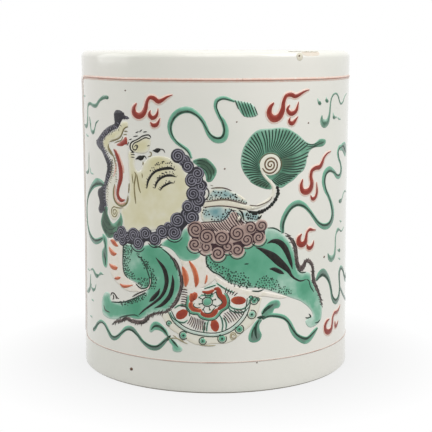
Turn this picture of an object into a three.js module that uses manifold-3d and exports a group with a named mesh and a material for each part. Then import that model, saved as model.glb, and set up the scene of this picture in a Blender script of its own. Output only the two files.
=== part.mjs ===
// Porcelain brush pot: a thrown cylinder with a luted base and a turned foot ring,
// a coat of clear glaze inside, outside and under the base, and a painting in
// overglaze enamels: a Buddhist lion with a brocade ball, ribbons and flames.
// Millimetres, +Z up, the origin at the centre of the foot's resting face,
// and -Y through the middle of the lion's side.
import * as THREE from "three";
import { mergeVertices } from "three/addons/utils/BufferGeometryUtils.js";
import Module from "manifold-3d";

// Driving dimensions of the pot
const POT_HEIGHT = 140;
const WAIST_RADIUS = 59.2;
const FOOT_FLARE = 0.8;
const LIP_FLARE = 0.4;
const WAIST_HEIGHT = 70;
const WALL_THICKNESS = 4.8;
const GLAZE_THICKNESS = 0.4;
const GLAZE_STOP_HEIGHT = 1.1;

// Driving dimensions of the foot and base
const FOOT_HEIGHT = 3;
const FOOT_RING_WIDTH = 14;
const FOOT_CHAMFER = 0.7;
const BASE_THICKNESS = 7;
const FLOOR_FILLET = 4;

// Driving dimensions of the painting
const ENAMEL_THICKNESS = 0.15;
const ENAMEL_SEAT_GAP = 0.02;
const ENAMEL_CLEARANCE = 0.3;
const UPPER_LINE_DROP = 11.5;
const LOWER_LINE_RISE = 13.3;
const BORDER_LINE_WIDTH = 0.7;
const BORDER_CORNER_RADIUS = 2.5;
const PANEL_SPACING = 7;
const PANELS = 2;

// The painting is drawn flat on a grid: u runs round the pot to the right of the
// lion's middle, and z runs up from the foot. The grid is fitted to the pot: it has
// this many units all the way round, up to the two lines of the border, and round to
// the left edge of the first panel.
const UNITS_ROUND = 372;
const UNITS_UP_TO_LOWER_LINE = 13.3;
const UNITS_UP_TO_UPPER_LINE = 128.5;
const UNITS_TO_LEFT_EDGE = -79;

// Fineness of the facets
const LATHE_SEGMENTS = 48;
const WALL_STEPS = 4;
const LIP_STEPS = 3;
const FILLET_STEPS = 3;
const OUTLINE_STEP = 2.8;
const CURL_SIDES = 8;
const CURL_OVERLAP = 1.06;
const BAND_STEPS = 20;
const CORNER_STEPS = 3;
const BORDER_STEPS = 3;

const wasm = await Module();
wasm.setup();

const fullCircle = 2 * Math.PI;
const upperLine = POT_HEIGHT - UPPER_LINE_DROP;
const lowerLine = LOWER_LINE_RISE;
const lipRound = WALL_THICKNESS / 2;
const clayTop = POT_HEIGHT - GLAZE_THICKNESS;
const floorHeight = FOOT_HEIGHT + BASE_THICKNESS;

const MATERIALS = {
  biscuit: { color: 0xd9cdb8, roughness: 0.85 },
  glaze: { color: 0xe6e6e0, roughness: 0.12 },
  red: { color: 0xa83a28, roughness: 0.45 },
  green: { color: 0x4fa184, roughness: 0.15 },
  yellow: { color: 0xcfcb9c, roughness: 0.15 },
  aubergine: { color: 0x4a4560, roughness: 0.15 },
  brown: { color: 0x8d7470, roughness: 0.15 },
  blue: { color: 0xa6c8c8, roughness: 0.15 },
};

const pot = new THREE.Group();

function addMesh(name, geometry, finish) {
  const material = new THREE.MeshStandardMaterial({ metalness: 0, ...MATERIALS[finish] });
  const mesh = new THREE.Mesh(geometry, material);
  mesh.name = name;
  pot.add(mesh);
}

// The glazed outside is slightly waisted: widest at the foot, narrowest at mid height.
function glazedRadius(z) {
  const below = z < WAIST_HEIGHT;
  const share = (z - WAIST_HEIGHT) / (below ? WAIST_HEIGHT : POT_HEIGHT - WAIST_HEIGHT);
  return WAIST_RADIUS + (below ? FOOT_FLARE : LIP_FLARE) * share * share;
}

const clayOuterRadius = (z) => glazedRadius(z) - GLAZE_THICKNESS;
const clayInnerRadius = (z) => clayOuterRadius(z) - WALL_THICKNESS;

// Heights at which every coat and wall has a ring of vertices, so that they nest.
function wallHeights(low, high) {
  const between = Array.from({ length: WALL_STEPS - 1 }, (_, i) => i + 1)
    .map((step) => (step * POT_HEIGHT) / WALL_STEPS)
    .filter((z) => z > low && z < high);
  return [low, ...between, high];
}

function lathe(points) {
  return new THREE.LatheGeometry(points.map(([r, z]) => new THREE.Vector2(r, z)), LATHE_SEGMENTS)
    .rotateX(Math.PI / 2);
}

// Points of the lip's half round, from outside over the crest to inside, as seen
// in a section; swell is the thickness of glaze laid over the clay.
function lipArc(swell, from, to) {
  const centreHeight = clayTop - lipRound;
  const centreRadius = clayOuterRadius(centreHeight) - lipRound;
  return Array.from({ length: LIP_STEPS + 1 }, (_, i) => {
    const angle = from + ((to - from) * i) / LIP_STEPS;
    const reach = lipRound + swell;
    return [centreRadius + reach * Math.cos(angle), centreHeight + reach * Math.sin(angle)];
  });
}

// Points of the hollow corner between the inner wall and the floor, from the wall down.
function floorCorner(inset) {
  const bend = FLOOR_FILLET - inset;
  const centreHeight = floorHeight + FLOOR_FILLET;
  const centreRadius = clayInnerRadius(centreHeight) - FLOOR_FILLET;
  return Array.from({ length: FILLET_STEPS + 1 }, (_, i) => {
    const angle = -(Math.PI / 2) * (i / FILLET_STEPS);
    return [centreRadius + bend * Math.cos(angle), centreHeight + bend * Math.sin(angle)];
  });
}

const lipCentreHeight = clayTop - lipRound;
const cornerTop = floorHeight + FLOOR_FILLET;
const crest = Math.PI / 2;

function thrownWall() {
  const outside = wallHeights(FOOT_HEIGHT, lipCentreHeight).map((z) => [clayOuterRadius(z), z]);
  const inside = wallHeights(cornerTop, lipCentreHeight).map((z) => [clayInnerRadius(z), z]);
  const seat = clayInnerRadius(cornerTop);
  return lathe([
    [seat, FOOT_HEIGHT],
    ...outside,
    ...lipArc(0, 0, crest).slice(1),
    ...lipArc(0, crest, Math.PI).slice(1, -1),
    ...inside.reverse(),
    [seat, FOOT_HEIGHT],
  ]);
}

function baseDisc() {
  const seat = clayInnerRadius(cornerTop);
  return lathe([
    [0, FOOT_HEIGHT],
    [seat, FOOT_HEIGHT],
    ...floorCorner(0),
    [0, floorHeight],
  ]);
}

const footOuter = clayOuterRadius(FOOT_HEIGHT);
const footInner = footOuter - FOOT_RING_WIDTH;

function footRing() {
  return lathe([
    [footInner, FOOT_HEIGHT],
    [footInner, FOOT_CHAMFER],
    [footInner + FOOT_CHAMFER, 0],
    [footOuter - FOOT_CHAMFER, 0],
    [footOuter, FOOT_CHAMFER],
    [footOuter, FOOT_HEIGHT],
    [footInner, FOOT_HEIGHT],
  ]);
}

function outerGlaze() {
  const skin = wallHeights(FOOT_HEIGHT, lipCentreHeight);
  const coat = skin.map((z) => [glazedRadius(z), z]);
  const back = skin.map((z) => [clayOuterRadius(z), z]);
  const hem = [glazedRadius(FOOT_HEIGHT), GLAZE_STOP_HEIGHT + GLAZE_THICKNESS];
  const edge = [footOuter, GLAZE_STOP_HEIGHT];
  return lathe([
    edge,
    hem,
    ...coat,
    ...lipArc(GLAZE_THICKNESS, 0, crest).slice(1),
    ...lipArc(0, 0, crest).slice(1).reverse(),
    ...back.reverse(),
    edge,
  ]);
}

function innerGlaze() {
  const skin = wallHeights(cornerTop, lipCentreHeight);
  const coat = skin.map((z) => [clayInnerRadius(z) - GLAZE_THICKNESS, z]);
  const back = skin.map((z) => [clayInnerRadius(z), z]);
  return lathe([
    [0, floorHeight],
    ...floorCorner(0).slice(1).reverse(),
    ...back,
    ...lipArc(0, crest, Math.PI).reverse().slice(1),
    ...lipArc(GLAZE_THICKNESS, crest, Math.PI).slice(0, -1),
    ...coat.reverse(),
    ...floorCorner(GLAZE_THICKNESS).slice(1),
    [0, floorHeight + GLAZE_THICKNESS],
  ]);
}

function baseGlaze() {
  return lathe([
    [0, FOOT_HEIGHT - GLAZE_THICKNESS],
    [footInner, FOOT_HEIGHT - GLAZE_THICKNESS],
    [footInner, FOOT_HEIGHT],
    [0, FOOT_HEIGHT],
  ]);
}

addMesh("foot_ring", footRing(), "biscuit");
addMesh("base_disc", baseDisc(), "biscuit");
addMesh("thrown_wall", thrownWall(), "biscuit");
addMesh("outer_glaze", outerGlaze(), "glaze");
addMesh("inner_glaze", innerGlaze(), "glaze");
addMesh("base_glaze", baseGlaze(), "glaze");

function solidOf(geometry) {
  const bare = geometry.clone();
  bare.deleteAttribute("normal");
  bare.deleteAttribute("uv");
  const merged = mergeVertices(bare, 1e-4);
  return new wasm.Manifold(
    new wasm.Mesh({
      numProp: 3,
      vertProperties: merged.attributes.position.array,
      triVerts: new Uint32Array(merged.index.array),
    }),
  );
}

function geometryOf(solid) {
  const mesh = solid.getMesh();
  return new THREE.BufferGeometry()
    .setAttribute("position", new THREE.BufferAttribute(mesh.vertProperties, 3))
    .setIndex(new THREE.BufferAttribute(mesh.triVerts, 1));
}

// The skin that all enamel lies in: a sleeve just clear of the glaze and as thick
// as a laid enamel, with the glaze's own facets.
function enamelSleeve() {
  const heights = wallHeights(FOOT_HEIGHT, lipCentreHeight);
  const seat = heights.map((z) => [glazedRadius(z) + ENAMEL_SEAT_GAP, z]);
  const face = heights.map((z) => [glazedRadius(z) + ENAMEL_SEAT_GAP + ENAMEL_THICKNESS, z]);
  return solidOf(lathe([seat[0], ...face, ...seat.reverse()]));
}

const sleeve = enamelSleeve();
const wedgeInner = WAIST_RADIUS / 2;
const wedgeOuter = WAIST_RADIUS * 1.6;
const unitUp = (upperLine - lowerLine) / (UNITS_UP_TO_UPPER_LINE - UNITS_UP_TO_LOWER_LINE);
const unitRound = (fullCircle * WAIST_RADIUS) / UNITS_ROUND;

const toAngle = (u) => (u / UNITS_ROUND) * fullCircle;
const toHeight = (z) => lowerLine + (z - UNITS_UP_TO_LOWER_LINE) * unitUp;

function onPot(u, z, radius) {
  const angle = toAngle(u);
  return [radius * Math.sin(angle), -radius * Math.cos(angle), toHeight(z)];
}

// A wedge whose sides point to the pot's axis: the drawn outline pushed through the wall.
function wedge(outline) {
  const flat = outline.map(([u, z]) => new THREE.Vector2(u, z));
  if (THREE.ShapeUtils.isClockWise(flat)) {
    flat.reverse();
  }
  const count = flat.length;
  const positions = [
    ...flat.flatMap((p) => onPot(p.x, p.y, wedgeInner)),
    ...flat.flatMap((p) => onPot(p.x, p.y, wedgeOuter)),
  ];
  const index = [];
  for (const [a, b, c] of THREE.ShapeUtils.triangulateShape(flat, [])) {
    index.push(a, c, b, a + count, b + count, c + count);
  }
  for (let i = 0; i < count; i++) {
    const j = (i + 1) % count;
    index.push(i, j, j + count, i, j + count, i + count);
  }
  const geometry = new THREE.BufferGeometry()
    .setAttribute("position", new THREE.Float32BufferAttribute(positions, 3))
    .setIndex(index);
  return solidOf(geometry);
}

// A smooth closed outline through its corner points.
function smoothOutline(points) {
  const curve = new THREE.CatmullRomCurve3(
    points.map(([u, z]) => new THREE.Vector3(u, z, 0)),
    true,
    "centripetal",
  );
  const count = Math.max(8, Math.round(curve.getLength() / OUTLINE_STEP));
  return curve.getSpacedPoints(count).slice(0, -1).map((p) => [p.x, p.y]);
}

// The outline of a brush stroke: route is a list of [u, z, width].
function strokeOutline(route) {
  const curve = new THREE.CatmullRomCurve3(
    route.map(([u, z]) => new THREE.Vector3(u, z, 0)),
    false,
    "centripetal",
  );
  const count = Math.max(4, Math.round(curve.getLength() / OUTLINE_STEP));
  const left = [];
  const right = [];
  for (let i = 0; i <= count; i++) {
    const share = curve.getUtoTmapping(i / count);
    const place = curve.getPoint(share);
    const ahead = curve.getTangent(share);
    const leg = share * (route.length - 1);
    const at = Math.min(Math.floor(leg), route.length - 2);
    const width = THREE.MathUtils.lerp(route[at][2], route[at + 1][2], leg - at);
    left.push([place.x - (ahead.y * width) / 2, place.y + (ahead.x * width) / 2]);
    right.push([place.x + (ahead.y * width) / 2, place.y - (ahead.x * width) / 2]);
  }
  return [...left, ...right.reverse()];
}

function circleOutline([u, z, radius]) {
  return Array.from({ length: CURL_SIDES }, (_, i) => {
    const angle = (fullCircle * i) / CURL_SIDES;
    return [u + radius * Math.cos(angle), z + radius * Math.sin(angle)];
  });
}

// An outline with every edge moved outwards by a margin.
function grown(outline, margin) {
  const side = THREE.ShapeUtils.isClockWise(outline.map(([u, z]) => new THREE.Vector2(u, z)));
  const reach = side ? -margin : margin;
  return outline.map(([u, z], i) => {
    const [fromU, fromZ] = outline.at(i - 1);
    const [toU, toZ] = outline[(i + 1) % outline.length];
    const length = Math.hypot(toU - fromU, toZ - fromZ);
    return [u + (reach * (toZ - fromZ)) / length, z - (reach * (toU - fromU)) / length];
  });
}

const unite = (solids) => solids.reduce((whole, next) => whole.add(next));
const curlOutlines = (curls) => curls.map(([u, z, r]) => circleOutline([u, z, r * CURL_OVERLAP]));

function largest(solid) {
  const bodies = solid.decompose();
  return bodies.reduce((best, next) => (next.volume() > best.volume() ? next : best));
}

// Enamels are laid one beside another: each new one stops just short of the earlier ones.
const laid = [];

function keepClear(outlines) {
  laid.push(solidOf(geometryOf(unite(outlines.map(wedge)))));
}

function lay(name, outlines, finish) {
  const whole = unite(outlines.map(wedge));
  const fresh = laid.reduce((left, earlier) => left.subtract(earlier), whole);
  addMesh(name, geometryOf(largest(fresh.intersect(sleeve))), finish);
  keepClear(outlines.map((outline) => grown(outline, ENAMEL_CLEARANCE / unitRound)));
}

// Outlines and strokes of the painting, as [u, z] and [u, z, width]
const FACE = [
  [-38.6, 110.6], [-43.5, 108.6], [-50, 106], [-54.4, 102.6], [-54.6, 100], [-51, 97], [-48, 92.5],
  [-49.8, 87], [-52, 82], [-52.5, 76], [-51, 71.5], [-47.5, 69.2], [-43.5, 67.3], [-38, 65.9],
  [-34, 66.6], [-31, 67.4], [-26, 67.2], [-22, 68.4], [-18.5, 70.8], [-14, 75], [-11.5, 80],
  [-9.9, 86], [-10.5, 91], [-12.5, 95], [-16, 97.4], [-21, 98], [-26, 96.6], [-28, 98],
  [-27.4, 104.2], [-31, 106.4], [-35, 104.8], [-38, 101], [-38.6, 94], [-38.4, 83], [-40, 79.5],
  [-43, 77.9], [-46.2, 80], [-46.8, 84], [-44.6, 88], [-44.2, 93], [-46, 97], [-49.4, 100.4],
  [-48, 103.2], [-44, 104.6], [-41, 107], [-38.6, 108.6],
];
const MANE_STRIP = [
  [-46.4, 114.5], [-45, 115.8], [-42, 115.8], [-40, 114.6], [-37.6, 113.4], [-38.4, 112.3],
  [-41.4, 111.6], [-44.5, 109], [-49, 107], [-54.6, 103.4], [-55.4, 99.6], [-52, 97], [-48.8, 93],
  [-50.2, 87.4], [-52.8, 81.8], [-53.4, 76], [-55.6, 72.2], [-58.6, 71.2], [-59.8, 72.6],
  [-58.6, 75.4], [-60, 78], [-59.2, 80.4], [-56, 84.2], [-53.4, 88.4], [-52.2, 92], [-54.4, 95.6],
  [-60, 100], [-61.2, 101.2], [-59, 102.8], [-55, 105.3], [-51, 107.8], [-47.4, 110],
];
const MANE_CURLS = [
  [-43.6, 65, 2.4], [-42, 62, 2.4], [-39.4, 64, 2.2], [-36, 64.8, 2.7], [-34, 61.4, 2.8],
  [-30, 65.3, 2.6], [-25.9, 64, 2.6], [-22, 67.2, 2.4], [-19.6, 67, 2], [-17, 66.6, 2.8],
  [-16.4, 70.2, 2.2], [-14.6, 72.4, 2.4], [-10.4, 73.6, 2.8], [-11, 77.8, 2.6], [-8, 77, 2.4],
  [-6.8, 80, 2.6], [-8.6, 83.2, 2.6], [-5.6, 86.2, 2.4], [-9, 88, 2.4], [-7, 91, 2.6],
  [-9.6, 94, 2.3], [-12.2, 96.8, 2.2], [-15.5, 98.2, 2.4],
];
const LEFT_EAR = [
  [-54, 75], [-56.6, 70.6], [-57.4, 67], [-55.5, 64], [-52.4, 61.9], [-49, 62.5], [-45.5, 64.5],
  [-43, 67], [-42.3, 70.4], [-43.2, 73.6], [-44, 71.4], [-46, 69.4], [-48.4, 68.2], [-50.6, 69.6],
  [-52, 72], [-51.9, 74.6],
];
const RIGHT_EAR = [
  [-8.4, 97.2], [-4.4, 97.6], [-0.8, 95.4], [0.7, 92], [0, 89.4], [-2, 87.8], [-4, 88],
  [-4.2, 90.6], [-6, 93.4], [-8.8, 95.4],
];
const FORELEG = [
  [-40.6, 60.6], [-36, 60.2], [-32, 60], [-28, 61], [-23, 60.5], [-20, 58.8], [-17, 55.5],
  [-15.2, 51], [-14.7, 46], [-15.5, 41], [-17.5, 37], [-20.5, 34.5], [-25, 33.2], [-30, 31],
  [-34, 29.3], [-40, 29.3], [-46, 27.5], [-52, 26.8], [-56.5, 28], [-57.3, 31], [-56.5, 35],
  [-54, 37.8], [-51, 37.5], [-50.3, 35], [-47, 34.2], [-42, 35.3], [-37, 37.5], [-33, 39.2],
  [-29.5, 41.8], [-31.5, 42.8], [-35, 44.8], [-38.5, 46], [-41, 47.8], [-41.8, 52], [-42, 57],
];
const NECK = [
  [-23, 61.6], [-20, 63.6], [-15, 64], [-13.4, 68], [-11, 69.2], [-10.8, 65], [-9.5, 60.5],
  [-6.2, 59.4], [-6.2, 57.6], [-8, 56.3], [-11, 55.5], [-13.5, 55.4], [-15.2, 57], [-17.5, 59.4],
  [-20, 61],
];
const HINDQUARTER = [
  [-4, 58], [-3.5, 54.5], [-1.5, 51.5], [2, 50], [4.5, 47.5], [8, 46], [11, 45.2], [14, 44],
  [18, 44.2], [22, 43], [26, 41.5], [30, 39.8], [34, 38], [38.5, 36], [42, 33.5], [44.5, 31],
  [45.2, 28.4], [42, 28.5], [40.8, 27], [42, 25], [44.5, 24], [48, 25], [50.5, 26.5], [51.5, 29.5],
  [51.3, 34], [49.5, 38], [46, 42], [44, 45], [43.5, 47.3], [41.5, 48.2], [38.5, 48.5], [36, 50],
  [34.6, 54], [33.2, 59], [31, 63], [28, 66], [24.5, 68], [22, 68.6], [18, 66], [8, 64], [0, 61],
];
const RUMP_CURLS = [
  [-7.6, 68.4, 2.9], [-3.7, 65.7, 2.9], [2.4, 65.2, 3], [8.8, 66.6, 3.2], [14, 68.9, 2.6],
  [19, 69.8, 2.4], [17.3, 65, 2.6], [12.8, 64.6, 2.5], [-8.5, 62.8, 2.4], [-3.8, 61.4, 2.4],
  [0.8, 58.6, 2.7], [4.8, 62, 2.4], [9, 60, 2.6], [-2.5, 69.4, 2.4], [2, 70, 2.6], [6, 71.4, 2.8],
];
const UPPER_SADDLE = [
  [-3.8, 82.4], [-1.5, 84.6], [3, 85], [7, 84], [11, 82], [13, 79.5], [12.2, 78.6], [8, 80.2],
  [4, 81], [0, 80.6], [-3.4, 80.4],
];
const LOWER_SADDLE = [
  [-5, 77], [-2, 78], [3, 78], [7, 77], [12, 76.2], [15, 76], [18, 75], [16.5, 72.8],
  [13.5, 72], [9, 73], [3, 71.5], [-2, 71], [-5.5, 72.5], [-5.8, 75],
];
const TAIL_STEM = [
  [-3.6, 79.2, 1.6], [4, 79.6, 1.8], [12, 77.9, 1.8], [18, 77, 2.4], [23, 79.4, 2.6],
  [25.2, 82.6, 2], [23.6, 86, 1.6], [20.6, 89.4, 1.6],
];
const TAIL_FAN = [
  [22.7, 84.4], [19, 85.2], [15, 87.3], [12, 90.5], [10.3, 94], [10, 98], [11.3, 102], [14, 106],
  [17.5, 108.8], [22, 109.2], [26, 109.8], [31, 109], [35, 107], [38, 104.8], [41, 103], [44, 102],
  [48, 103.3], [52.3, 102.7], [52.3, 101.6], [47, 100.4], [42.5, 100], [40.5, 96.5], [39, 93],
  [36.5, 89.5], [32, 86.2], [28, 84.8], [26, 86.4], [24, 87.4],
];
const TAIL_SPIRAL = [22.8, 94.6, 4.7];
const BALL = { u: -2.8, z: 40.7, broad: 1.08, radius: 20, sashWidth: 3.6, rimGap: 0.3, rimWidth: 1 };
const BALL_FLOWER = { u: -3.3, z: 38.7, broad: 1.1, radius: 6.2, lobe: 0.9, lobes: 6, turn: 0.3, band: 1.9 };
// Ovals on the ball: where, in degrees round the ball and as a share of its radius
// from its middle, then half the length and width, and the tilt in degrees
const CARTOUCHES = [
  [-7.4, 0.615, 3.2, 1.8, 0],
  [-146.4, 0.645, 2.6, 1.7, 28],
  [-77.6, 0.59, 1.8, 2.5, 8],
];
const RIBBONS = {
  ribbon_over_mane: [
    [-10.2, 98.6, 1.5], [-12.6, 101.6, 1.6], [-16, 103.6, 1.5], [-18, 107, 1.8], [-18.3, 111, 2.3],
    [-16.5, 114.8, 2.6], [-12.5, 117, 2.7], [-8.5, 116, 2.2], [-5.5, 113.5, 1.6], [-3.8, 110, 1.5],
    [-2, 106.5, 2], [0.5, 105, 2.6], [3.2, 105.8, 2.8], [4, 109, 2.4], [3, 112.5, 1.9],
    [0.8, 115.5, 1.5], [0, 118.5, 1.5], [1, 121, 1.5], [3.5, 121.6, 1.4], [6, 121, 1.2],
    [8.4, 119.8, 1.6], [11, 118, 4.2], [14, 116.4, 4.8], [16, 115.2, 3.6],
  ],
  ribbon_left_loop: [
    [-58.6, 84.4, 2.2], [-62, 84, 2.2], [-66, 82, 1.9], [-70.5, 78.8, 1.4], [-74, 74.5, 1.1],
    [-75.3, 70, 1.1], [-74.5, 65, 1.2], [-71.5, 61.5, 1.6], [-68, 59.2, 2], [-63.5, 58.4, 2.2],
    [-59.5, 59.2, 2], [-56.4, 60.8, 1.8],
  ],
  ribbon_left_end: [[-54, 59.6, 1.6], [-54.3, 56, 2.6], [-54.5, 52.5, 3], [-54.1, 49.6, 2.2]],
  ribbon_ball_left: [
    [-66.5, 18.6, 2.2], [-64, 20, 2], [-61, 22.8, 1.7], [-57.5, 24, 1.5], [-54.5, 23, 1.6],
    [-52, 20.5, 2], [-49.5, 18.4, 2.4], [-46.5, 19.2, 2], [-43, 22.3, 1.6], [-40, 24.7, 2.2],
    [-37, 24.6, 2.2], [-34, 22.5, 1.7], [-31, 19.7, 1.8], [-27.5, 18, 2.4], [-24.5, 18.4, 2.2],
    [-22, 20.8, 1.9], [-20.4, 23.4, 1.8], [-21.5, 26.5, 2.2], [-24, 28, 2.6], [-26.5, 27.4, 2.4],
    [-28, 25.4, 1.4],
  ],
  ribbon_ball_left_tail: [[-18.6, 22.8, 1.6], [-17, 21.4, 2], [-16, 19.6, 3], [-15.7, 18, 3]],
  ribbon_ball_right: [
    [18.4, 31.2, 1.7], [24, 32, 1.8], [28, 31.2, 1.6], [31.5, 29, 1.6], [33.5, 25.5, 2],
    [36, 21.8, 2], [39.5, 19.5, 2.4], [43.5, 20, 2.4], [46.5, 22.2, 2], [48.2, 23.4, 1.6],
  ],
  ribbon_ball_right_leaf: [[18.4, 33.2, 2], [21.5, 35.4, 3.2], [25, 36.6, 2.8], [27.4, 36, 2]],
  ribbon_ball_right_tail: [[17.4, 29.8, 1.8], [16.4, 27, 2.8], [15.9, 24.6, 4.4], [15.9, 22.4, 4]],
  ribbon_haunch_upper: [
    [28.5, 67, 1.5], [28.6, 70.5, 1.8], [30.5, 74.5, 2], [34, 77.4, 2.1], [38, 77.3, 2],
    [42, 75, 1.6], [45.5, 71, 1.4], [49.5, 67.7, 1.7], [54, 66.3, 2.3], [58, 67.5, 2.4],
    [59.8, 71, 2.1], [58.5, 75, 1.7], [56, 79, 1.5], [53, 82.5, 1.8], [51.8, 86, 2.2],
    [53, 89.2, 2.3], [56.5, 90.2, 2], [60.5, 89, 1.6], [64, 86.5, 1.7], [67.5, 87, 1.9],
    [68.8, 89.5, 1.7], [67, 92.5, 1.2], [64.5, 95, 1.2], [64, 98, 1.4], [67, 99, 1.5],
    [71, 99.2, 2.6], [75, 97.4, 2.2], [78, 95.4, 1],
  ],
  ribbon_haunch_lower: [
    [48.4, 44.6, 1.8], [50.4, 46, 2.6], [53, 46, 2.6], [56, 43.5, 1.9], [58.5, 39.5, 1.5],
    [59.8, 35, 1.6], [62, 32.4, 2], [65, 31.7, 2.1], [68, 33.8, 1.9], [69, 38, 1.4], [68, 42.5, 1.4],
    [69.5, 45, 1.6], [73, 44.5, 1.6], [77, 41, 1.6], [81, 38.6, 2.2], [86, 38, 2.6], [90, 40, 1.4],
  ],
};
const FLAMES = {
  flame_above_mouth: [
    [-33.4, 119.8, 1], [-35, 116.6, 2], [-33.6, 114.3, 2], [-31, 114.4, 2], [-29.3, 117, 1.6],
    [-28.3, 120.4, 1.4], [-26.3, 121.6, 1.5], [-23.5, 120.2, 1.9], [-20.6, 121.3, 1.1],
    [-17.4, 122.6, 0.5],
  ],
  flame_above_tail: [
    [24, 119.6, 1], [22.4, 117, 2], [22.6, 114.2, 2.2], [25, 113.4, 2.2], [27.2, 115.4, 1.8],
    [28.2, 118.6, 1.5], [29, 121.4, 1.5], [31.2, 122.6, 1.6], [33.6, 122.2, 1.6], [36.5, 123, 1],
    [40.6, 124.2, 0.5],
  ],
  flame_below_tail: [
    [38.8, 87.6, 1], [37.9, 84.6, 1.8], [39.6, 82.2, 2], [42.4, 82.8, 2], [43.4, 86, 1.6],
    [43.2, 88.6, 1.5], [45.2, 91.2, 1.5], [48, 91.6, 1.9], [50.2, 93.4, 1.5], [52.4, 96, 1],
    [56.6, 97.6, 0.5],
  ],
  flame_over_haunch: [
    [38.6, 64.8, 1], [37, 62.8, 2], [38, 60.8, 2.2], [40, 61.3, 1.8], [40.9, 63.8, 1.2],
    [42, 66, 1.2], [44.4, 66.2, 1], [46.4, 65.6, 0.6],
  ],
  flame_below_haunch: [
    [57, 25, 1], [54.8, 24, 1.5], [54.2, 22, 2], [56, 20, 2.1], [58.6, 20.6, 1.8], [60, 23, 1.4],
    [60.6, 26, 1.3], [63, 27.2, 1.2], [66, 27.8, 0.9], [68.6, 29.6, 0.5],
  ],
};
const GREEN_FLAMES = {
  green_flame_left_top: [
    [-50.6, 120.9, 1], [-54, 120.5, 1.1], [-57, 118, 1], [-60, 116.7, 1.3], [-64, 117.6, 1.1],
    [-68, 116.8, 1], [-70, 113.5, 1], [-70.8, 109.4, 1.3], [-74, 107.4, 1.6], [-76.6, 107.9, 0.8],
  ],
  green_flame_left_low: [
    [-56.4, 44.8, 0.6], [-59, 45.4, 0.9], [-62, 43.5, 1.3], [-64.6, 45.4, 1], [-67.6, 45, 0.9],
    [-69.8, 42.4, 1], [-70.6, 38.4, 1.1], [-73, 35, 1.5], [-77, 33.4, 0.7],
  ],
  green_flame_right_top: [
    [75.6, 121.8, 0.5], [70, 119.6, 0.9], [66.4, 117.4, 1.2], [63.8, 119.6, 0.9],
    [61, 122.3, 1], [58, 121.4, 0.9], [56, 118.6, 0.9], [55.5, 114.4, 1.5], [53.6, 110.8, 2.4],
    [51.4, 110.6, 2.6], [50.2, 113.4, 0.9],
  ],
  green_flame_right_low: [
    [74.4, 63.4, 0.6], [70.6, 62.3, 1], [67, 64, 1.1], [64, 62.4, 1.2], [62.9, 58, 1.1],
    [62, 54, 1.7], [59.5, 51.9, 2.4], [57.4, 52.6, 2.2], [56.2, 54.4, 0.9],
  ],
};

// What the lion's body hides of the ball behind it
const BELLY = [
  [-26, 60], [-18, 36], [-16, 41], [-12, 43.8], [-6, 44.2], [0, 46.4], [4, 43.8], [8, 42.2],
  [14, 42], [22, 40], [30, 44], [20, 62], [0, 66],
];

// A band between two rounds about one middle, as two half bands, so that each is simple.
function bandOutlines({ u, z, broad }, inner, outer, wave = () => 0) {
  const at = (reach, angle) => {
    const radius = reach + wave(angle);
    return [u + radius * broad * Math.cos(angle), z + radius * Math.sin(angle)];
  };
  return [0, Math.PI].map((from) => {
    const angles = Array.from(
      { length: BAND_STEPS + 1 },
      (_, i) => from + (Math.PI * i) / BAND_STEPS,
    );
    const outside = angles.map((angle) => at(outer, angle));
    const inside = angles.map((angle) => at(inner, angle));
    return [...outside, ...inside.reverse()];
  });
}

function cartoucheOutline([bearing, reach, across, up, tilt]) {
  const toward = THREE.MathUtils.degToRad(bearing);
  const turn = THREE.MathUtils.degToRad(tilt);
  const u = BALL.u + BALL.radius * reach * Math.cos(toward);
  const z = BALL.z + BALL.radius * reach * Math.sin(toward);
  return circleOutline([0, 0, 1]).map(([x, y]) => [
    u + across * x * Math.cos(turn) - up * y * Math.sin(turn),
    z + across * x * Math.sin(turn) + up * y * Math.cos(turn),
  ]);
}

// The outline of a line of even width along straight runs and corner arcs.
function lineOutline(route, width) {
  const edge = (reach) =>
    route.map(([u, z], i) => {
      const [fromU, fromZ] = route[Math.max(i - 1, 0)];
      const [toU, toZ] = route[Math.min(i + 1, route.length - 1)];
      const length = Math.hypot(toU - fromU, toZ - fromZ);
      return [u - (reach * (toZ - fromZ)) / length, z + (reach * (toU - fromU)) / length];
    });
  return [...edge(width / 2), ...edge(-width / 2).reverse()];
}

// The iron red line round a panel: two halves that meet in the middle of its top and bottom.
function borderOutlines(left, right) {
  const middle = (left + right) / 2;
  const round = BORDER_CORNER_RADIUS / unitRound;
  const width = BORDER_LINE_WIDTH / unitRound;
  const half = (edge, inwards) => {
    const centre = edge + inwards * round;
    const corner = (z, up) =>
      Array.from({ length: CORNER_STEPS + 1 }, (_, i) => {
        const turn = (Math.PI / 2) * (i / CORNER_STEPS);
        return [centre - inwards * round * Math.sin(turn), z + up * round * Math.cos(turn)];
      });
    const run = (z) =>
      Array.from({ length: BORDER_STEPS }, (_, i) => {
        const share = i / BORDER_STEPS;
        return [middle + inwards * width + (centre - middle) * share, z];
      });
    const route = [
      ...run(UNITS_UP_TO_UPPER_LINE),
      ...corner(UNITS_UP_TO_UPPER_LINE - round, 1),
      ...corner(UNITS_UP_TO_LOWER_LINE + round, -1).reverse(),
      ...run(UNITS_UP_TO_LOWER_LINE).reverse(),
    ];
    return lineOutline(route, width);
  };
  return [half(left, 1), half(right, -1)];
}

for (let i = 0; i < PANELS; i++) {
  const left = UNITS_TO_LEFT_EDGE + (i * UNITS_ROUND) / PANELS;
  const right = left + UNITS_ROUND / PANELS - PANEL_SPACING / unitRound;
  lay(`panel_border_${i + 1}`, borderOutlines(left, right), "red");
}

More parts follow.
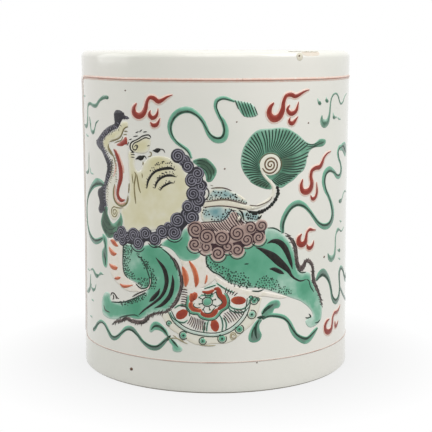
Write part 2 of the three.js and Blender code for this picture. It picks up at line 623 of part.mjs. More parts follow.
lay("lion_mane_strip", [smoothOutline(MANE_STRIP)], "aubergine");
lay("lion_mane_curls", curlOutlines(MANE_CURLS), "aubergine");
lay("lion_left_ear", [smoothOutline(LEFT_EAR)], "green");
lay("lion_face", [smoothOutline(FACE)], "yellow");
lay("lion_right_ear", [smoothOutline(RIGHT_EAR)], "green");
lay("lion_rump_curls", curlOutlines(RUMP_CURLS), "brown");
lay("lion_upper_saddle", [smoothOutline(UPPER_SADDLE)], "blue");
lay("lion_lower_saddle", [smoothOutline(LOWER_SADDLE)], "blue");
lay("lion_tail_stem", [strokeOutline(TAIL_STEM)], "yellow");
lay("lion_tail_spiral", [circleOutline(TAIL_SPIRAL)], "yellow");
lay("lion_tail_fan", [smoothOutline(TAIL_FAN)], "green");
lay("lion_neck", [smoothOutline(NECK)], "green");
lay("lion_foreleg", [smoothOutline(FORELEG)], "green");
lay("lion_hindquarter", [smoothOutline(HINDQUARTER)], "green");

const petal = (angle) => BALL_FLOWER.lobe * Math.cos(BALL_FLOWER.lobes * (angle - BALL_FLOWER.turn));
const flowerInner = BALL_FLOWER.radius - BALL_FLOWER.band;
const flower = bandOutlines(BALL_FLOWER, flowerInner, BALL_FLOWER.radius, petal);
lay("ball_flower", flower, "red");
CARTOUCHES.forEach((cartouche, i) => {
  lay(`ball_cartouche_${i + 1}`, [cartoucheOutline(cartouche)], "red");
});
keepClear([smoothOutline(BELLY)]);
const sashInner = BALL.radius - BALL.sashWidth;
const rimOuter = sashInner - BALL.rimGap;
lay("ball_rim", bandOutlines(BALL, rimOuter - BALL.rimWidth, rimOuter), "green");
lay("ball_sash", bandOutlines(BALL, sashInner, BALL.radius), "yellow");

for (const [name, route] of Object.entries(RIBBONS)) {
  lay(name, [strokeOutline(route)], "green");
}
for (const [name, route] of Object.entries(FLAMES)) {
  lay(name, [strokeOutline(route)], "red");
}
for (const [name, route] of Object.entries(GREEN_FLAMES)) {
  lay(name, [strokeOutline(route)], "green");
}

export default pot;
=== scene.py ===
"""Porcelain brush pot: the fired vessel, its raised overglaze enamels and a plain stage.

Everything is in metres, in the frame of the packed model: +Z up, the foot ring's
resting face at zero, and -Y through the middle of the lion's panel. The painting
is drawn flat, in millimetres: u runs round the pot to the right of the panel's
middle and z runs up from the foot, and wrap() lays a drawn point on the glaze.
"""

import math
import random

import bpy
import numpy as np
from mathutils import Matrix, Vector
from mathutils.geometry import delaunay_2d_cdt


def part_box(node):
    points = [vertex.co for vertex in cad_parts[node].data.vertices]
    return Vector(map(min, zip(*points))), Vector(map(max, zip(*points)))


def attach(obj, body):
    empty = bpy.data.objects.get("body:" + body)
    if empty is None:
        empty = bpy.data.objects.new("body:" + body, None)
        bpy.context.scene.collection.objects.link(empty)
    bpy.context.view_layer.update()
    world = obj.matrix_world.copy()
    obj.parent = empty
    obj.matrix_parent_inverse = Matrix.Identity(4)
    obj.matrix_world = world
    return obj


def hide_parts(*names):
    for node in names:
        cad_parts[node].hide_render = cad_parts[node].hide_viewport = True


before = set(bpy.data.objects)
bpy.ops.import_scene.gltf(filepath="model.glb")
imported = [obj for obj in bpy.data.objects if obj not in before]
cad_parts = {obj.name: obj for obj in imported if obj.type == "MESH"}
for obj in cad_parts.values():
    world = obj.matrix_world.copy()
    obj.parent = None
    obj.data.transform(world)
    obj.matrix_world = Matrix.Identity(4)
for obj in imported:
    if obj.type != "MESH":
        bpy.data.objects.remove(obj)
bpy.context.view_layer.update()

bl_info = {
    "name": "Brush Pot",
    "version": (1, 0, 0),
    "blender": (4, 5, 0),
    "location": "View3D > Sidebar > Brush Pot",
    "description": "Builds a painted porcelain brush pot piece by piece round its packed solids",
    "category": "Object",
}

MM = 0.001
BODY = "root"

# The vessel's curve, in millimetres
POT_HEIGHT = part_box("outer_glaze")[1][2] / MM
WAIST_RADIUS = 59.2
WAIST_HEIGHT = 70.0
FOOT_FLARE = 0.8
LIP_FLARE = 0.4
FOOT_HEIGHT = 3.0

# The two painted panels, in millimetres of the flat drawing
PANEL_LEFT = -79.0
PANEL_SPACING = 7.0
LOWER_LINE = 13.3
UPPER_LINE = POT_HEIGHT - 11.5
HALF_ROUND = math.pi * WAIST_RADIUS
PANEL_RIGHT = PANEL_LEFT + HALF_ROUND - PANEL_SPACING
FAR_PANEL_SUM = PANEL_LEFT + PANEL_RIGHT + HALF_ROUND


# Colours, nodes and materials

def linear(hex_colour):
    """Linear RGBA of an sRGB colour written as RRGGBB."""
    channels = [int(hex_colour[i:i + 2], 16) / 255 for i in (0, 2, 4)]
    return [c / 12.92 if c <= 0.04045 else ((c + 0.055) / 1.055) ** 2.4 for c in channels] + [1.0]


def node(tree, kind, links=(), stops=(), **settings):
    """Adds a node. A setting names a property or an input, links gives (input, output),
    and stops gives (place, colour) for a ramp."""
    made = tree.nodes.new(kind)
    for name, value in settings.items():
        if hasattr(made, name):
            setattr(made, name, value)
        else:
            made.inputs[name.replace("_", " ")].default_value = value
    for socket, source in links:
        tree.links.new(made.inputs[socket], source)
    for i, (place, shade) in enumerate(stops):
        elements = made.color_ramp.elements
        stop = elements[i] if i < len(elements) else elements.new(place)
        stop.position, stop.color = place, shade
    return made


def new_material(name, **shader):
    """A material whose Principled shader has the given socket values."""
    material = bpy.data.materials.new(name)
    material.use_nodes = True
    surface = material.node_tree.nodes["Principled BSDF"]
    for socket, value in shader.items():
        surface.inputs[socket.replace("_", " ")].default_value = value
    return material, material.node_tree, surface


def cloud(tree, size_mm, detail=2.0):
    """Soft noise whose patches have a real size."""
    place = node(tree, "ShaderNodeTexCoord").outputs["Object"]
    return node(tree, "ShaderNodeTexNoise", [("Vector", place)],
                Scale=1 / (size_mm * MM), Detail=detail).outputs["Fac"]


def mottle(tree, surface, size_mm, first, second, low=0.35, high=0.65, detail=3.0):
    """Base colour that drifts between two over patches of a real size."""
    ramp = node(tree, "ShaderNodeValToRGB", [("Fac", cloud(tree, size_mm, detail))],
                stops=[(low, first), (high, second)])
    tree.links.new(surface.inputs["Base Color"], ramp.outputs["Color"])


def relief(tree, surface, size_mm, height_mm, detail=2.0):
    """Fine unevenness of a real size and height."""
    rise = node(tree, "ShaderNodeBump", [("Height", cloud(tree, size_mm, detail))],
                Distance=height_mm * MM)
    tree.links.new(surface.inputs["Normal"], rise.outputs["Normal"])


# Porcelain glaze: clear felspathic glaze fired glossy on a white body. It looks faintly
# grey green where it is thick and warmer where it thins, with a very soft orange peel.
def clear_glaze(colours):
    material, tree, surface = new_material("clear porcelain glaze", Roughness=0.14, IOR=1.5)
    mottle(tree, surface, 40, colours.glaze_thick, colours.glaze)
    relief(tree, surface, 5, 0.03)
    return material


# Unglazed porcelain: dry, fine grained, burnt buff in the kiln and soiled a little in use.
def bare_body(colours):
    material, tree, surface = new_material("unglazed porcelain", Roughness=0.82, IOR=1.5)
    mottle(tree, surface, 2.2, colours.body_stain, colours.body)
    relief(tree, surface, 0.5, 0.05, detail=4.0)
    return material


# Broken porcelain: the sugary white body where the lip is chipped, cream in the middle and tan
# along the upper edge, which the depth attribute marks. The tan is painted shadow under the lip's
# crest, and the thin strip beside the chip is tan all over.
def broken_body_and_shadow(colours):
    material, tree, surface = new_material("broken porcelain", Roughness=0.6, IOR=1.5)
    height = node(tree, "ShaderNodeAttribute", attribute_name="depth").outputs["Fac"]
    # Cream low on the chip, tan at its upper edge and on the strip beside it: the tan is painted
    # shadow under the lip's crest.
    ramp = node(tree, "ShaderNodeValToRGB", [("Fac", height)],
                stops=[(0.2, colours.chip), (0.75, colours.chip), (1.0, colours.tan)])
    tree.links.new(surface.inputs["Base Color"], ramp.outputs["Color"])
    relief(tree, surface, 0.5, 0.04, detail=4.0)
    return material


def shades(*names):
    """The scene's colours of these names."""
    return [getattr(bpy.context.scene.pot_colours, name) for name in names]


# Overglaze enamel: coloured lead glass brushed on and fired glossy. It is deep where it
# pools, and pale at its edges and where the brush ran dry, so the white shows through.
def enamel(name, pale, middle, deep, pool_mm):
    material, tree, surface = new_material(name, Roughness=0.24, IOR=1.58,
                                           Specular_IOR_Level=0.3)
    depth = node(tree, "ShaderNodeAttribute", attribute_name="depth").outputs["Fac"]
    drift = node(tree, "ShaderNodeMapRange", [("Value", cloud(tree, pool_mm, 3.0))],
                 From_Min=0.3, From_Max=0.7, To_Min=-0.22, To_Max=0.22)
    pooled = node(tree, "ShaderNodeMath", [(0, depth), (1, drift.outputs[0])], operation="ADD")
    wash = node(tree, "ShaderNodeValToRGB", [("Fac", pooled.outputs[0])],
                stops=zip((0.0, 0.5, 1.0), shades(pale, middle, deep)))
    tree.links.new(surface.inputs["Base Color"], wash.outputs["Color"])
    relief(tree, surface, 2.0, 0.02)
    return material


# Drawing pigment: finely ground iron or manganese with a little glass, thin and satin,
# its strength uneven along the brush line.
def pigment(name, strong, thin):
    material, tree, surface = new_material(name, Roughness=0.4, IOR=1.5,
                                           Specular_IOR_Level=0.25)
    mottle(tree, surface, 1.5, *shades(strong, thin), low=0.45, high=0.85)
    relief(tree, surface, 0.6, 0.01)
    return material


# The vessel's own curves

def glaze_radius(z):
    """Outside radius of the glaze at a height: slightly waisted."""
    below = z < WAIST_HEIGHT
    share = (z - WAIST_HEIGHT) / (WAIST_HEIGHT if below else POT_HEIGHT - WAIST_HEIGHT)
    return WAIST_RADIUS + (FOOT_FLARE if below else LIP_FLARE) * share * share


def wrap(u, z, lift):
    """A drawn point on the glaze, lifted off it by some millimetres."""
    angle = u / WAIST_RADIUS
    radius = (glaze_radius(z) + lift) * MM
    return radius * math.sin(angle), -radius * math.cos(angle), z * MM


def mesh_object(name, verts, faces):
    mesh = bpy.data.meshes.new(name)
    mesh.from_pydata(verts, [], faces)
    mesh.shade_smooth()
    made = bpy.data.objects.new(name, mesh)
    bpy.context.scene.collection.objects.link(made)
    return made


def lathe(name, profile, segments):
    """A surface turned round the axis from a profile of (radius, height) in millimetres."""
    verts, faces, rings = [], [], []
    for radius, z in profile:
        start = len(verts)
        if radius == 0:
            rings.append([start] * segments)
            verts.append((0.0, 0.0, z * MM))
            continue
        rings.append(range(start, start + segments))
        for i in range(segments):
            angle = 2 * math.pi * i / segments
            verts.append((radius * math.sin(angle) * MM, -radius * math.cos(angle) * MM,
                          z * MM))
    for low, high in zip(rings, rings[1:]):
        for i in range(segments):
            j = (i + 1) % segments
            faces.append(tuple(dict.fromkeys((low[i], low[j], high[j], high[i]))))
    return mesh_object(name, verts, faces)


def arc(centre_r, centre_z, radius, start, end, steps):
    """Points of a round stretch of a profile, with its angles in degrees."""
    angles = (math.radians(start + (end - start) * i / steps) for i in range(steps + 1))
    return [(centre_r + radius * math.cos(a), centre_z + radius * math.sin(a)) for a in angles]


def dress(piece, material, nodes=()):
    """Gives a piece its material and body, and hides the solids that it stands for."""
    piece.data.materials.append(material)
    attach(piece, BODY)
    if nodes:
        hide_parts(*nodes)
    return piece


# The painter's brush: flat drawing that is wrapped on both panels

def spline(route, step, closed=False):
    """Points about step apart on a smooth curve through route. Widths run smoothly too."""
    points = np.array(route, dtype=float)
    if closed:
        around = np.vstack([points[-1], points, points[:2]])
    else:
        around = np.vstack([2 * points[0] - points[1], points, 2 * points[-1] - points[-2]])
    made = []
    for p0, p1, p2, p3 in zip(around, around[1:], around[2:], around[3:]):
        near, here, far = (max(math.dist(a[:2], b[:2]), 1e-6) ** 0.5
                           for a, b in ((p0, p1), (p1, p2), (p2, p3)))
        leave = p2 - p1 + here * ((p1 - p0) / near - (p2 - p0) / (near + here))
        arrive = p2 - p1 + here * ((p3 - p2) / far - (p3 - p1) / (here + far))
        count = max(1, round(here * here / step))
        for t in np.arange(count) / count:
            made.append((2 * t**3 - 3 * t**2 + 1) * p1 + (t**3 - 2 * t**2 + t) * leave
                        + (3 * t**2 - 2 * t**3) * p2 + (t**3 - t**2) * arrive)
    if not closed:
        made.append(points[-1])
    return np.array(made)


def travelled(line):
    """Length of a line up to each of its points."""
    return np.concatenate([[0], np.cumsum(np.linalg.norm(np.diff(line, axis=0), axis=1))])


def evenly(route, count):
    """Points at equal shares of a smooth curve's length."""
    line = spline(route, 0.25)[:, :2]
    run = travelled(line)
    at = np.linspace(0, run[-1], count)
    return np.stack([np.interp(at, run, line[:, 0]), np.interp(at, run, line[:, 1])], axis=1)


def headings(line, closed=False):
    """Unit direction of travel at each point of a line."""
    if closed:
        ahead = np.roll(line, -1, axis=0) - np.roll(line, 1, axis=0)
    else:
        ahead = np.gradient(line, axis=0)
    return ahead / np.maximum(np.linalg.norm(ahead, axis=1), 1e-9)[:, None]


def to_left(ways):
    """Directions turned to the left by a right angle."""
    return np.stack([-ways[:, 1], ways[:, 0]], axis=1)


def beside(route, gap):
    """A smooth line along a route, some millimetres to its left."""
    line = spline([place[:2] for place in route], 1.0)
    return [tuple(place) for place in line + to_left(headings(line)) * gap]


def edge_distance(places, outline):
    """Distance of each place to the nearest edge of a closed outline."""
    legs = np.roll(outline, -1, axis=0) - outline
    square = np.maximum((legs ** 2).sum(axis=1), 1e-12)
    away = places[:, None, :] - outline[None, :, :]
    share = np.clip((away * legs).sum(axis=2) / square, 0, 1)
    return np.linalg.norm(away - share[:, :, None] * legs, axis=2).min(axis=1)


def inside(places, outline):
    """Which places lie inside a closed outline."""
    ends = np.roll(outline, -1, axis=0)
    x, y = places[:, 0][:, None], places[:, 1][:, None]
    spans = (outline[:, 1] > y) != (ends[:, 1] > y)
    rise = np.where(ends[:, 1] == outline[:, 1], 1e-12, ends[:, 1] - outline[:, 1])
    cross = outline[:, 0] + (y - outline[:, 1]) / rise * (ends[:, 0] - outline[:, 0])
    return ((spans & (x < cross)).sum(axis=1) % 2).astype(bool)


def ring_route(u, z, across, up, start=0.0, end=360.0, tilt=0.0, steps=16):
    """Points round part of an ellipse, with angles in degrees."""
    turn = math.radians(tilt)
    route = []
    for i in range(steps + 1):
        a = math.radians(start + (end - start) * i / steps)
        x, y = across * math.cos(a), up * math.sin(a)
        route.append((u + x * math.cos(turn) - y * math.sin(turn),
                      z + x * math.sin(turn) + y * math.cos(turn)))
    return route


# A brush line's section: (share of the width, share of the height), with 0 sunk in the glaze
STROKE_SECTION = ((-0.5, 0), (-0.44, 0.93), (0, 1), (0.44, 0.93), (0.5, 0))
THINNEST = 0.05
# How far the edges of a mark lie below the face of the glaze, in millimetres
SUNK = 0.04
# A curl that overlaps its neighbour lies this much higher, and its own line a little less
CURL_STEP = 0.03
CURL_LINE = 0.02
# A line narrows over this many millimetres at its ends, and over this share if it is short
TAPER_LENGTH = 2.5
TAPER_SHARE = 0.3
# Depth of colour, from 0 pale to 1 pooled, in the middle of a patch, a line and a dot
PATCH_DEPTH = 0.6
LINE_DEPTH = 0.75
DOT_DEPTH = 0.7
# Height of a row in a grid of equal triangles, as a share of their sides
ROW_RISE = 0.87


class Painting:
    """One colour's marks, gathered flat and then wrapped on both panels as one piece."""

    def __init__(self, sizes, height, seed):
        self.sizes = sizes
        self.height = height
        self.hand = random.Random(seed)
        self.verts, self.depths, self.faces = [], [], []

    def add(self, places, lifts, depths, faces):
        start = len(self.verts)
        self.verts += [(u, z, lift) for (u, z), lift in zip(places, lifts)]
        self.depths += [float(depth) for depth in depths]
        self.faces += [tuple(start + i for i in face) for face in faces]

    def fill(self, outline, thin=1.4, pools=()):
        """A raised patch inside an outline. Its depth falls off within thin millimetres of the
        edge, and each pool (u, z, reach, change) deepens or thins it round a spot."""
        sizes = self.sizes
        edge = spline(outline, sizes.edge_step, closed=True)
        low, high = edge.min(axis=0), edge.max(axis=0)
        step = sizes.grid_step
        rows = enumerate(np.arange(low[1], high[1], step * ROW_RISE))
        grid = [(u + row % 2 * step / 2, z) for row, z in rows
                for u in np.arange(low[0], high[0], step)]
        side = to_left(headings(edge, closed=True)) * sizes.edge_round
        inner = np.vstack([grid, edge + side, edge - side])
        inner = inner[inside(inner, edge)]
        inner = inner[edge_distance(inner, edge) > sizes.edge_round * 0.8]
        loop = [(i, (i + 1) % len(edge)) for i in range(len(edge))]
        places, _, faces = delaunay_2d_cdt([Vector(p) for p in np.vstack([edge, inner])],
                                           loop, [], 1, 1e-5)[:3]
        places = np.array([tuple(p) for p in places])
        away = edge_distance(places, edge)
        rise = self.height * (1 - (1 - np.minimum(away / sizes.edge_round, 1)) ** 2)
        depth = np.minimum(away / thin, 1) * PATCH_DEPTH
        for u, z, reach, change in pools:
            depth += change * np.exp(-((places - (u, z)) ** 2).sum(axis=1) / reach ** 2)
        count = len(places)
        sides = {}
        for a, b, c in faces:
            for pair in ((a, b), (b, c), (c, a)):
                sides[pair] = True
        skirt = [(b, a, a + count, b + count) for a, b in sides if (b, a) not in sides]
        under = [tuple(count + i for i in reversed(face)) for face in faces]
        self.add(np.vstack([places, places]), [*rise, *[-SUNK] * count], [*depth, *depth],
                 [*faces, *under, *skirt])

    def oval(self, u, z, across, up, thin, tilt=0.0, steps=12, pools=()):
        """A raised patch inside an ellipse."""
        self.fill(ring_route(u, z, across, up, tilt=tilt, steps=steps)[:-1], thin, pools)

    def stroke(self, route, width=None, taper=0.35, tone=0.0):
        """A brush line along a route of (u, z) or (u, z, width), tapered at its ends. Tone
        makes it deeper or paler."""
        line = spline(route, self.sizes.stroke_step)
        count = len(line)
        widths = line[:, 2] if line.shape[1] > 2 else np.full(count, width)
        side = to_left(headings(line[:, :2]))
        run = travelled(line[:, :2])
        reach = min(run[-1] * TAPER_SHARE, TAPER_LENGTH)
        ends = np.minimum(np.minimum(run, run[-1] - run) / max(reach, 1e-6), 1)
        widths = np.maximum(widths, THINNEST) * (taper + (1 - taper) * np.sqrt(ends))
        places, lifts, depths, faces = [], [], [], []
        rows = len(STROKE_SECTION)
        for here, across, wide in zip(line[:, :2], side, widths):
            for share, height in STROKE_SECTION:
                places.append(here + across * share * wide)
                lifts.append(height * self.height if height > 0 else -SUNK)
                depths.append(LINE_DEPTH - abs(share) + tone)
        for i in range(count - 1):
            for j in range(rows):
                k = (j + 1) % rows
                faces.append((i * rows + j, (i + 1) * rows + j, (i + 1) * rows + k,
                              i * rows + k))
        last = (count - 1) * rows
        faces.append(tuple(range(rows)))
        faces.append(tuple(last + j for j in reversed(range(rows))))
        self.add(places, lifts, depths, faces)

    def strokes(self, routes, width=None, taper=0.35, tone=0.0):
        for route in routes:
            self.stroke(route, width, taper, tone)

    def dot(self, u, z, radius, stretch=1.0, tilt=0.0, sides=8):
        """A small raised spot, longer one way by stretch and turned by tilt in degrees."""
        places, lifts, depths = [], [], []
        for reach, height, depth in ((1, -SUNK, 0.1), (0.85, self.height * 0.85, 0.4)):
            places += ring_route(u, z, radius * reach * stretch, radius * reach, tilt=tilt,
                                 steps=sides)[:-1]
            lifts += [height] * sides
            depths += [depth] * sides
        faces = [(i, (i + 1) % sides, sides + (i + 1) % sides, sides + i) for i in range(sides)]
        faces += [(sides + i, sides + (i + 1) % sides, 2 * sides) for i in range(sides)]
        faces.append(tuple(reversed(range(sides))))
        self.add([*places, (u, z)], [*lifts, self.height], [*depths, DOT_DEPTH], faces)

    def chain(self, route, count, radius):
        """Dots at equal shares of a route."""
        for place in evenly(route, count):
            self.dot(*place, radius * self.hand.uniform(0.85, 1.15),
                     tilt=self.hand.uniform(0, 90), sides=6)

    def comb(self, roots, tips, count, root_width, tip_width, bow=0.0):
        """Lines that link equal shares of two routes, bowed to their left by a share of
        their length."""
        middle_width = (root_width + tip_width) / 2
        for low, high in zip(evenly(roots, count), evenly(tips, count)):
            run = high - low
            middle = (low + high) / 2 + bow * np.array([-run[1], run[0]])
            high = high - run * self.hand.uniform(0, 0.06)
            self.stroke([(*low, root_width), (*middle, middle_width), (*high, tip_width)],
                        taper=0.7)

    def ring(self, u, z, across, up, width, start=0.0, end=360.0):
        """A line round part of an ellipse."""
        self.stroke(ring_route(u, z, across, up, start, end), width, taper=0.9)

    def spiral(self, u, z, radius, turns, width, start=0.0, way=1, core=0.12):
        """A curl drawn from its middle out."""
        steps = max(8, round(12 * turns))
        route = []
        for i in range(steps + 1):
            share = i / steps
            angle = math.radians(start) - way * 2 * math.pi * turns * (1 - share)
            reach = radius * (core + (1 - core) * share)
            route.append((u + reach * math.cos(angle), z + reach * math.sin(angle)))
        self.stroke(route, width, taper=0.6)

    def ticks(self, route, reach, spacing, width, lean=90.0, wander=12.0):
        """Short hairs that start on a route and lean to its left by some degrees."""
        line = spline([point[:2] for point in route], spacing)
        for (u, z), (du, dz) in zip(line, headings(line)):
            way = math.atan2(dz, du) + math.radians(lean + self.hand.uniform(-wander, wander))
            tip = reach * self.hand.uniform(0.7, 1.15)
            self.stroke([(u, z, width),
                         (u + tip * math.cos(way), z + tip * math.sin(way), width * 0.6)])

    def stipple(self, outline, spacing, radius):
        """Uneven dots over the inside of an outline."""
        edge = spline(outline, 1.0, closed=True)
        low, high = edge.min(axis=0), edge.max(axis=0)
        stray = spacing * 0.3
        for row, z in enumerate(np.arange(low[1], high[1], spacing * ROW_RISE)):
            for u in np.arange(low[0] + row % 2 * spacing / 2, high[0], spacing):
                spot = (u + self.hand.uniform(-stray, stray),
                        z + self.hand.uniform(-stray, stray))
                if inside(np.array([spot]), edge)[0]:
                    self.dot(*spot, radius * self.hand.uniform(0.7, 1.2), sides=6)

    def hatch(self, outline, tilt, spacing, width):
        """Parallel lines across the inside of an outline, tilted by degrees."""
        edge = spline(outline, 1.0, closed=True)
        ends = np.roll(edge, -1, axis=0)
        turn = math.radians(tilt)
        along = np.array([math.cos(turn), math.sin(turn)])
        across = np.array([-math.sin(turn), math.cos(turn)])
        first, second = edge @ across, ends @ across
        for level in np.arange(first.min() + spacing / 2, first.max(), spacing):
            hit = (first > level) != (second > level)
            share = ((level - first[hit]) / (second[hit] - first[hit]))[:, None]
            cuts = sorted((edge[hit] + share * (ends[hit] - edge[hit])) @ along)
            for start, end in zip(cuts[::2], cuts[1::2]):
                if end - start > 2 * width:
                    self.stroke([tuple(along * at + across * level) for at in (start, end)],
                                width)

    def fold(self, route, share=0.26, width=0.34):
        """The dark line of a ribbon's fold: it swings to the inner side of each bend, by a
        share of the ribbon's width."""
        line = spline(route, 1.0)
        ways = headings(line[:, :2])
        heading = np.unwrap(np.arctan2(ways[:, 1], ways[:, 0]))
        around = 7
        turning = np.pad(np.gradient(heading), around // 2, mode="edge")
        bend = np.convolve(turning, np.full(around, 1 / around), mode="valid")
        shift = np.tanh(bend * 9) * share * line[:, 2]
        places = line[:, :2] + to_left(ways) * shift[:, None]
        self.stroke([(*place, max(0.3, wide * width))
                     for place, wide in zip(places[::2], line[::2, 2])])

    def build(self, name, slot, finish, *hues, pool_mm=5.0, nodes=(), panels=2):
        """Wraps the marks on the near panel, and mirrored on the far one. The finish is a
        material, or the name of one to make: a pigment of two hues or an enamel of three."""
        if len(hues) == 2:
            finish = pigment(finish, *hues)
        elif hues:
            finish = enamel(finish, *hues, pool_mm)
        verts = [wrap(u, z, lift) for u, z, lift in self.verts]
        faces = list(self.faces)
        if panels == 2:
            count = len(verts)
            verts += [wrap(FAR_PANEL_SUM - u, z, lift) for u, z, lift in self.verts]
            faces += [tuple(count + i for i in reversed(face)) for face in self.faces]
        piece = mesh_object(name, verts, faces)
        tone = piece.data.attributes.new("depth", "FLOAT", "POINT")
        tone.data.foreach_set("value", self.depths * panels)
        return dress(piece, finish, nodes)


# Sizes and colours that a user would change

def number(name, description, default, **more):
    return bpy.props.FloatProperty(name=name, description=description, default=default, **more)


def length(name, description, default_mm):
    return number(name, description, default_mm * MM, unit="LENGTH", precision=5)


def angle(name, description, degrees):
    return number(name, description, math.radians(degrees), subtype="ANGLE")


def drawn(name, description, default):
    return number(name, description + ", in drawn millimetres", default, precision=3)


def colour(name, description, hex_colour):
    return bpy.props.FloatVectorProperty(name=name, description=description, size=4, min=0, max=1,
                                         subtype="COLOR", default=linear(hex_colour))


class PotSizes(bpy.types.PropertyGroup):
    """Sizes of the fired vessel"""
    wall: length("Wall", "Thickness of the clay wall", 4.8)
    glaze: length("Glaze", "Thickness of each coat of glaze", 0.4)
    foot_width: length("Foot ring width", "Width of the resting ring", 14)
    foot_chamfer: length("Foot chamfer", "Rounding on the edges of the foot ring", 0.7)
    base: length("Base", "Thickness of the clay base", 7)
    fillet: length("Floor corner", "Radius between the inner wall and the floor", 4)
    glaze_stop: length("Bare edge", "Height above the foot at which the glaze stops", 0.5)
    chip_width: length("Chip width", "Half the length of the chip along the lip", 5.2)
    # The strip beside the chip is painted shadow along the lip's crest, not a break in it.
    chip_shadow_length: length("Chip crack", "Length of the thin bruise left of the chip", 6.4)
    chip_depth: length("Chip depth", "Depth of the chip in the lip", 0.42)
    chip_place: angle("Chip place", "Where the chip is round the lip", 41.4)
    segments: bpy.props.IntProperty(name="Segments", description="Facets round the vessel",
                                    default=360)


class PaintSizes(bpy.types.PropertyGroup):
    """Sizes of the painter's marks"""
    wash_height: drawn("Wash height", "Rise of a thin wash", 0.05)
    enamel_height: drawn("Enamel height", "Rise of a filled enamel patch", 0.09)
    curl_height: drawn("Curl height", "Rise of a curl laid over other enamel", 0.12)
    line_height: drawn("Line height", "Rise of a drawn line", 0.16)
    edge_round: drawn("Edge round", "Width of a patch's rounded edge", 0.4)
    edge_step: drawn("Edge step", "Spacing of an outline's points", 0.8)
    stroke_step: drawn("Stroke step", "Spacing of a line's points", 0.7)
    grid_step: drawn("Grid step", "Spacing of a patch's points", 1.5)
    layer_step: drawn("Layer step", "Rise of one group of pieces over the last", 0.003)


class PotColours(bpy.types.PropertyGroup):
    """Colours of the body, glaze and enamels"""
    glaze: colour("Glaze", "Clear glaze on white body", "DCDAD2")
    glaze_thick: colour("Thick glaze", "The glaze where it pools", "D6D6CD")
    body: colour("Body", "Bare fired body", "BDB6A8")
    body_stain: colour("Body stain", "Stained patches of the bare body", "A69D8B")
    chip: colour("Chip", "Broken body in the lip", "CCC2B4")
    green_thin: colour("Thin green", "Copper green where it is thin", "ADC8B9")
    green: colour("Green", "Copper green enamel", "64A387")
    green_deep: colour("Deep green", "Copper green where it pools", "4A9273")
    dark_green: colour("Dark green", "Dark copper green enamel", "42604B")
    dark_green_deep: colour("Deep dark green", "Dark green where it pools", "2A4435")
    fan_thin: colour("Thin tail green", "The tail's green where it is thin", "93B5A3")
    fan: colour("Tail green", "The tail's green", "699C83")
    fan_deep: colour("Deep tail green", "The tail's green where it pools", "3F6B55")
    leaf_line: colour("Green line", "Dark green drawing lines", "1B3529")
    yellow_thin: colour("Thin yellow", "Straw yellow where it is thin", "D9D7C9")
    yellow: colour("Yellow", "Straw yellow enamel", "D3CFB3")
    yellow_deep: colour("Deep yellow", "Straw yellow where it pools", "C9C39B")
    red_thin: colour("Thin iron red", "Iron red brushed thin", "AF6250")
    red: colour("Iron red", "Iron red", "872818")
    red_deep: colour("Deep iron red", "Iron red where it is thick", "6F2014")
    ball_red: colour("Ball red", "The warmer iron red of the ball", "953A1F")
    orange: colour("Orange", "Iron red washed out to orange", "C0673F")
    orange_thin: colour("Thin orange", "The orange wash's edge", "DDB49F")
    pink: colour("Pink", "A faint blush of iron red", "D3A898")
    border: colour("Border line", "Iron red brown of the ruled border", "A37868")
    border_thin: colour("Thin border", "The border where it is rubbed", "CDBCB1")
    halo: colour("Border halo", "Peach bleed beside the border", "DDC3B5")
    aubergine_thin: colour("Thin aubergine", "Aubergine where it is thin", "56555E")
    aubergine: colour("Aubergine", "Dark aubergine enamel", "212029")
    aubergine_deep: colour("Deep aubergine", "Aubergine where it pools", "17161D")
    curl_line: colour("Curl line", "Pale lines of the mane's curls", "86848F")
    rump_thin: colour("Thin brown purple", "Brown purple where it is thin", "BFABA1")
    rump: colour("Brown purple", "Brown purple enamel", "9C857C")
    rump_deep: colour("Deep brown purple", "Brown purple where it pools", "8A736B")
    rump_line: colour("Rump line", "Dark lines of the rump's curls", "3A2529")
    dull_green: colour("Dull green", "Green that fired grey", "5F786C")
    turquoise: colour("Turquoise", "Pale turquoise enamel", "A6BAB5")
    turquoise_deep: colour("Deep turquoise", "Blue spot of the saddle", "6A9497")
    ink: colour("Ink", "Black drawing lines", "12120F")
    ink_thin: colour("Thin ink", "Black lines brushed thin", "2E2B24")
    fur: colour("Fur", "Brown fur lines", "5A4C4C")
    fur_thin: colour("Thin fur", "Fur lines brushed thin", "8F827A")
    tan: colour("Tan", "Olive tan drawing lines", "756B45")
    tan_thin: colour("Thin tan", "Tan lines brushed thin", "9C9370")
    cream: colour("Cream", "Off white wash", "D5D0BE")
    blush: colour("Chest white", "Pinkish white wash of the chest", "E0DAD0")
    speck: colour("Speck", "Kiln specks and the stain below the chip", "5F4636")


class StageSizes(bpy.types.PropertyGroup):
    """Camera and lamps"""
    camera_distance: length("Camera distance", "From the pot's axis to the lens", 505.2)
    camera_height: length("Camera height", "Lens height above the table", 142.1)
    camera_side: length("Camera side", "Lens offset to the right", 0.2)
    camera_pitch: angle("Camera pitch", "Tilt down", 8.66)
    lens: number("Lens", "Focal length on a 36 mm frame", 93.25, unit="CAMERA")
    right_power: number("Right lamp", "Power of the lamp on the right", 7.6, unit="POWER")
    left_power: number("Left lamp", "Power of the lamp on the left", 3.9, unit="POWER")
    front_power: number("Front lamp", "Power of the lamp in front", 4.0, unit="POWER")
    surround: number("Surround", "Strength of the white surround as a light", 0.78)


class ClayCore(bpy.types.Operator):
    """Finish the clay wall and base that the glaze covers"""
    bl_idname = "brushpot.clay_core"
    bl_label = "Clay core"

    def execute(self, context):
        clay = bare_body(context.scene.pot_colours)
        for name in ("thrown_wall", "base_disc"):
            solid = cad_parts[name]
            solid.data.materials.clear()
            solid.data.materials.append(clay)
        return {"FINISHED"}


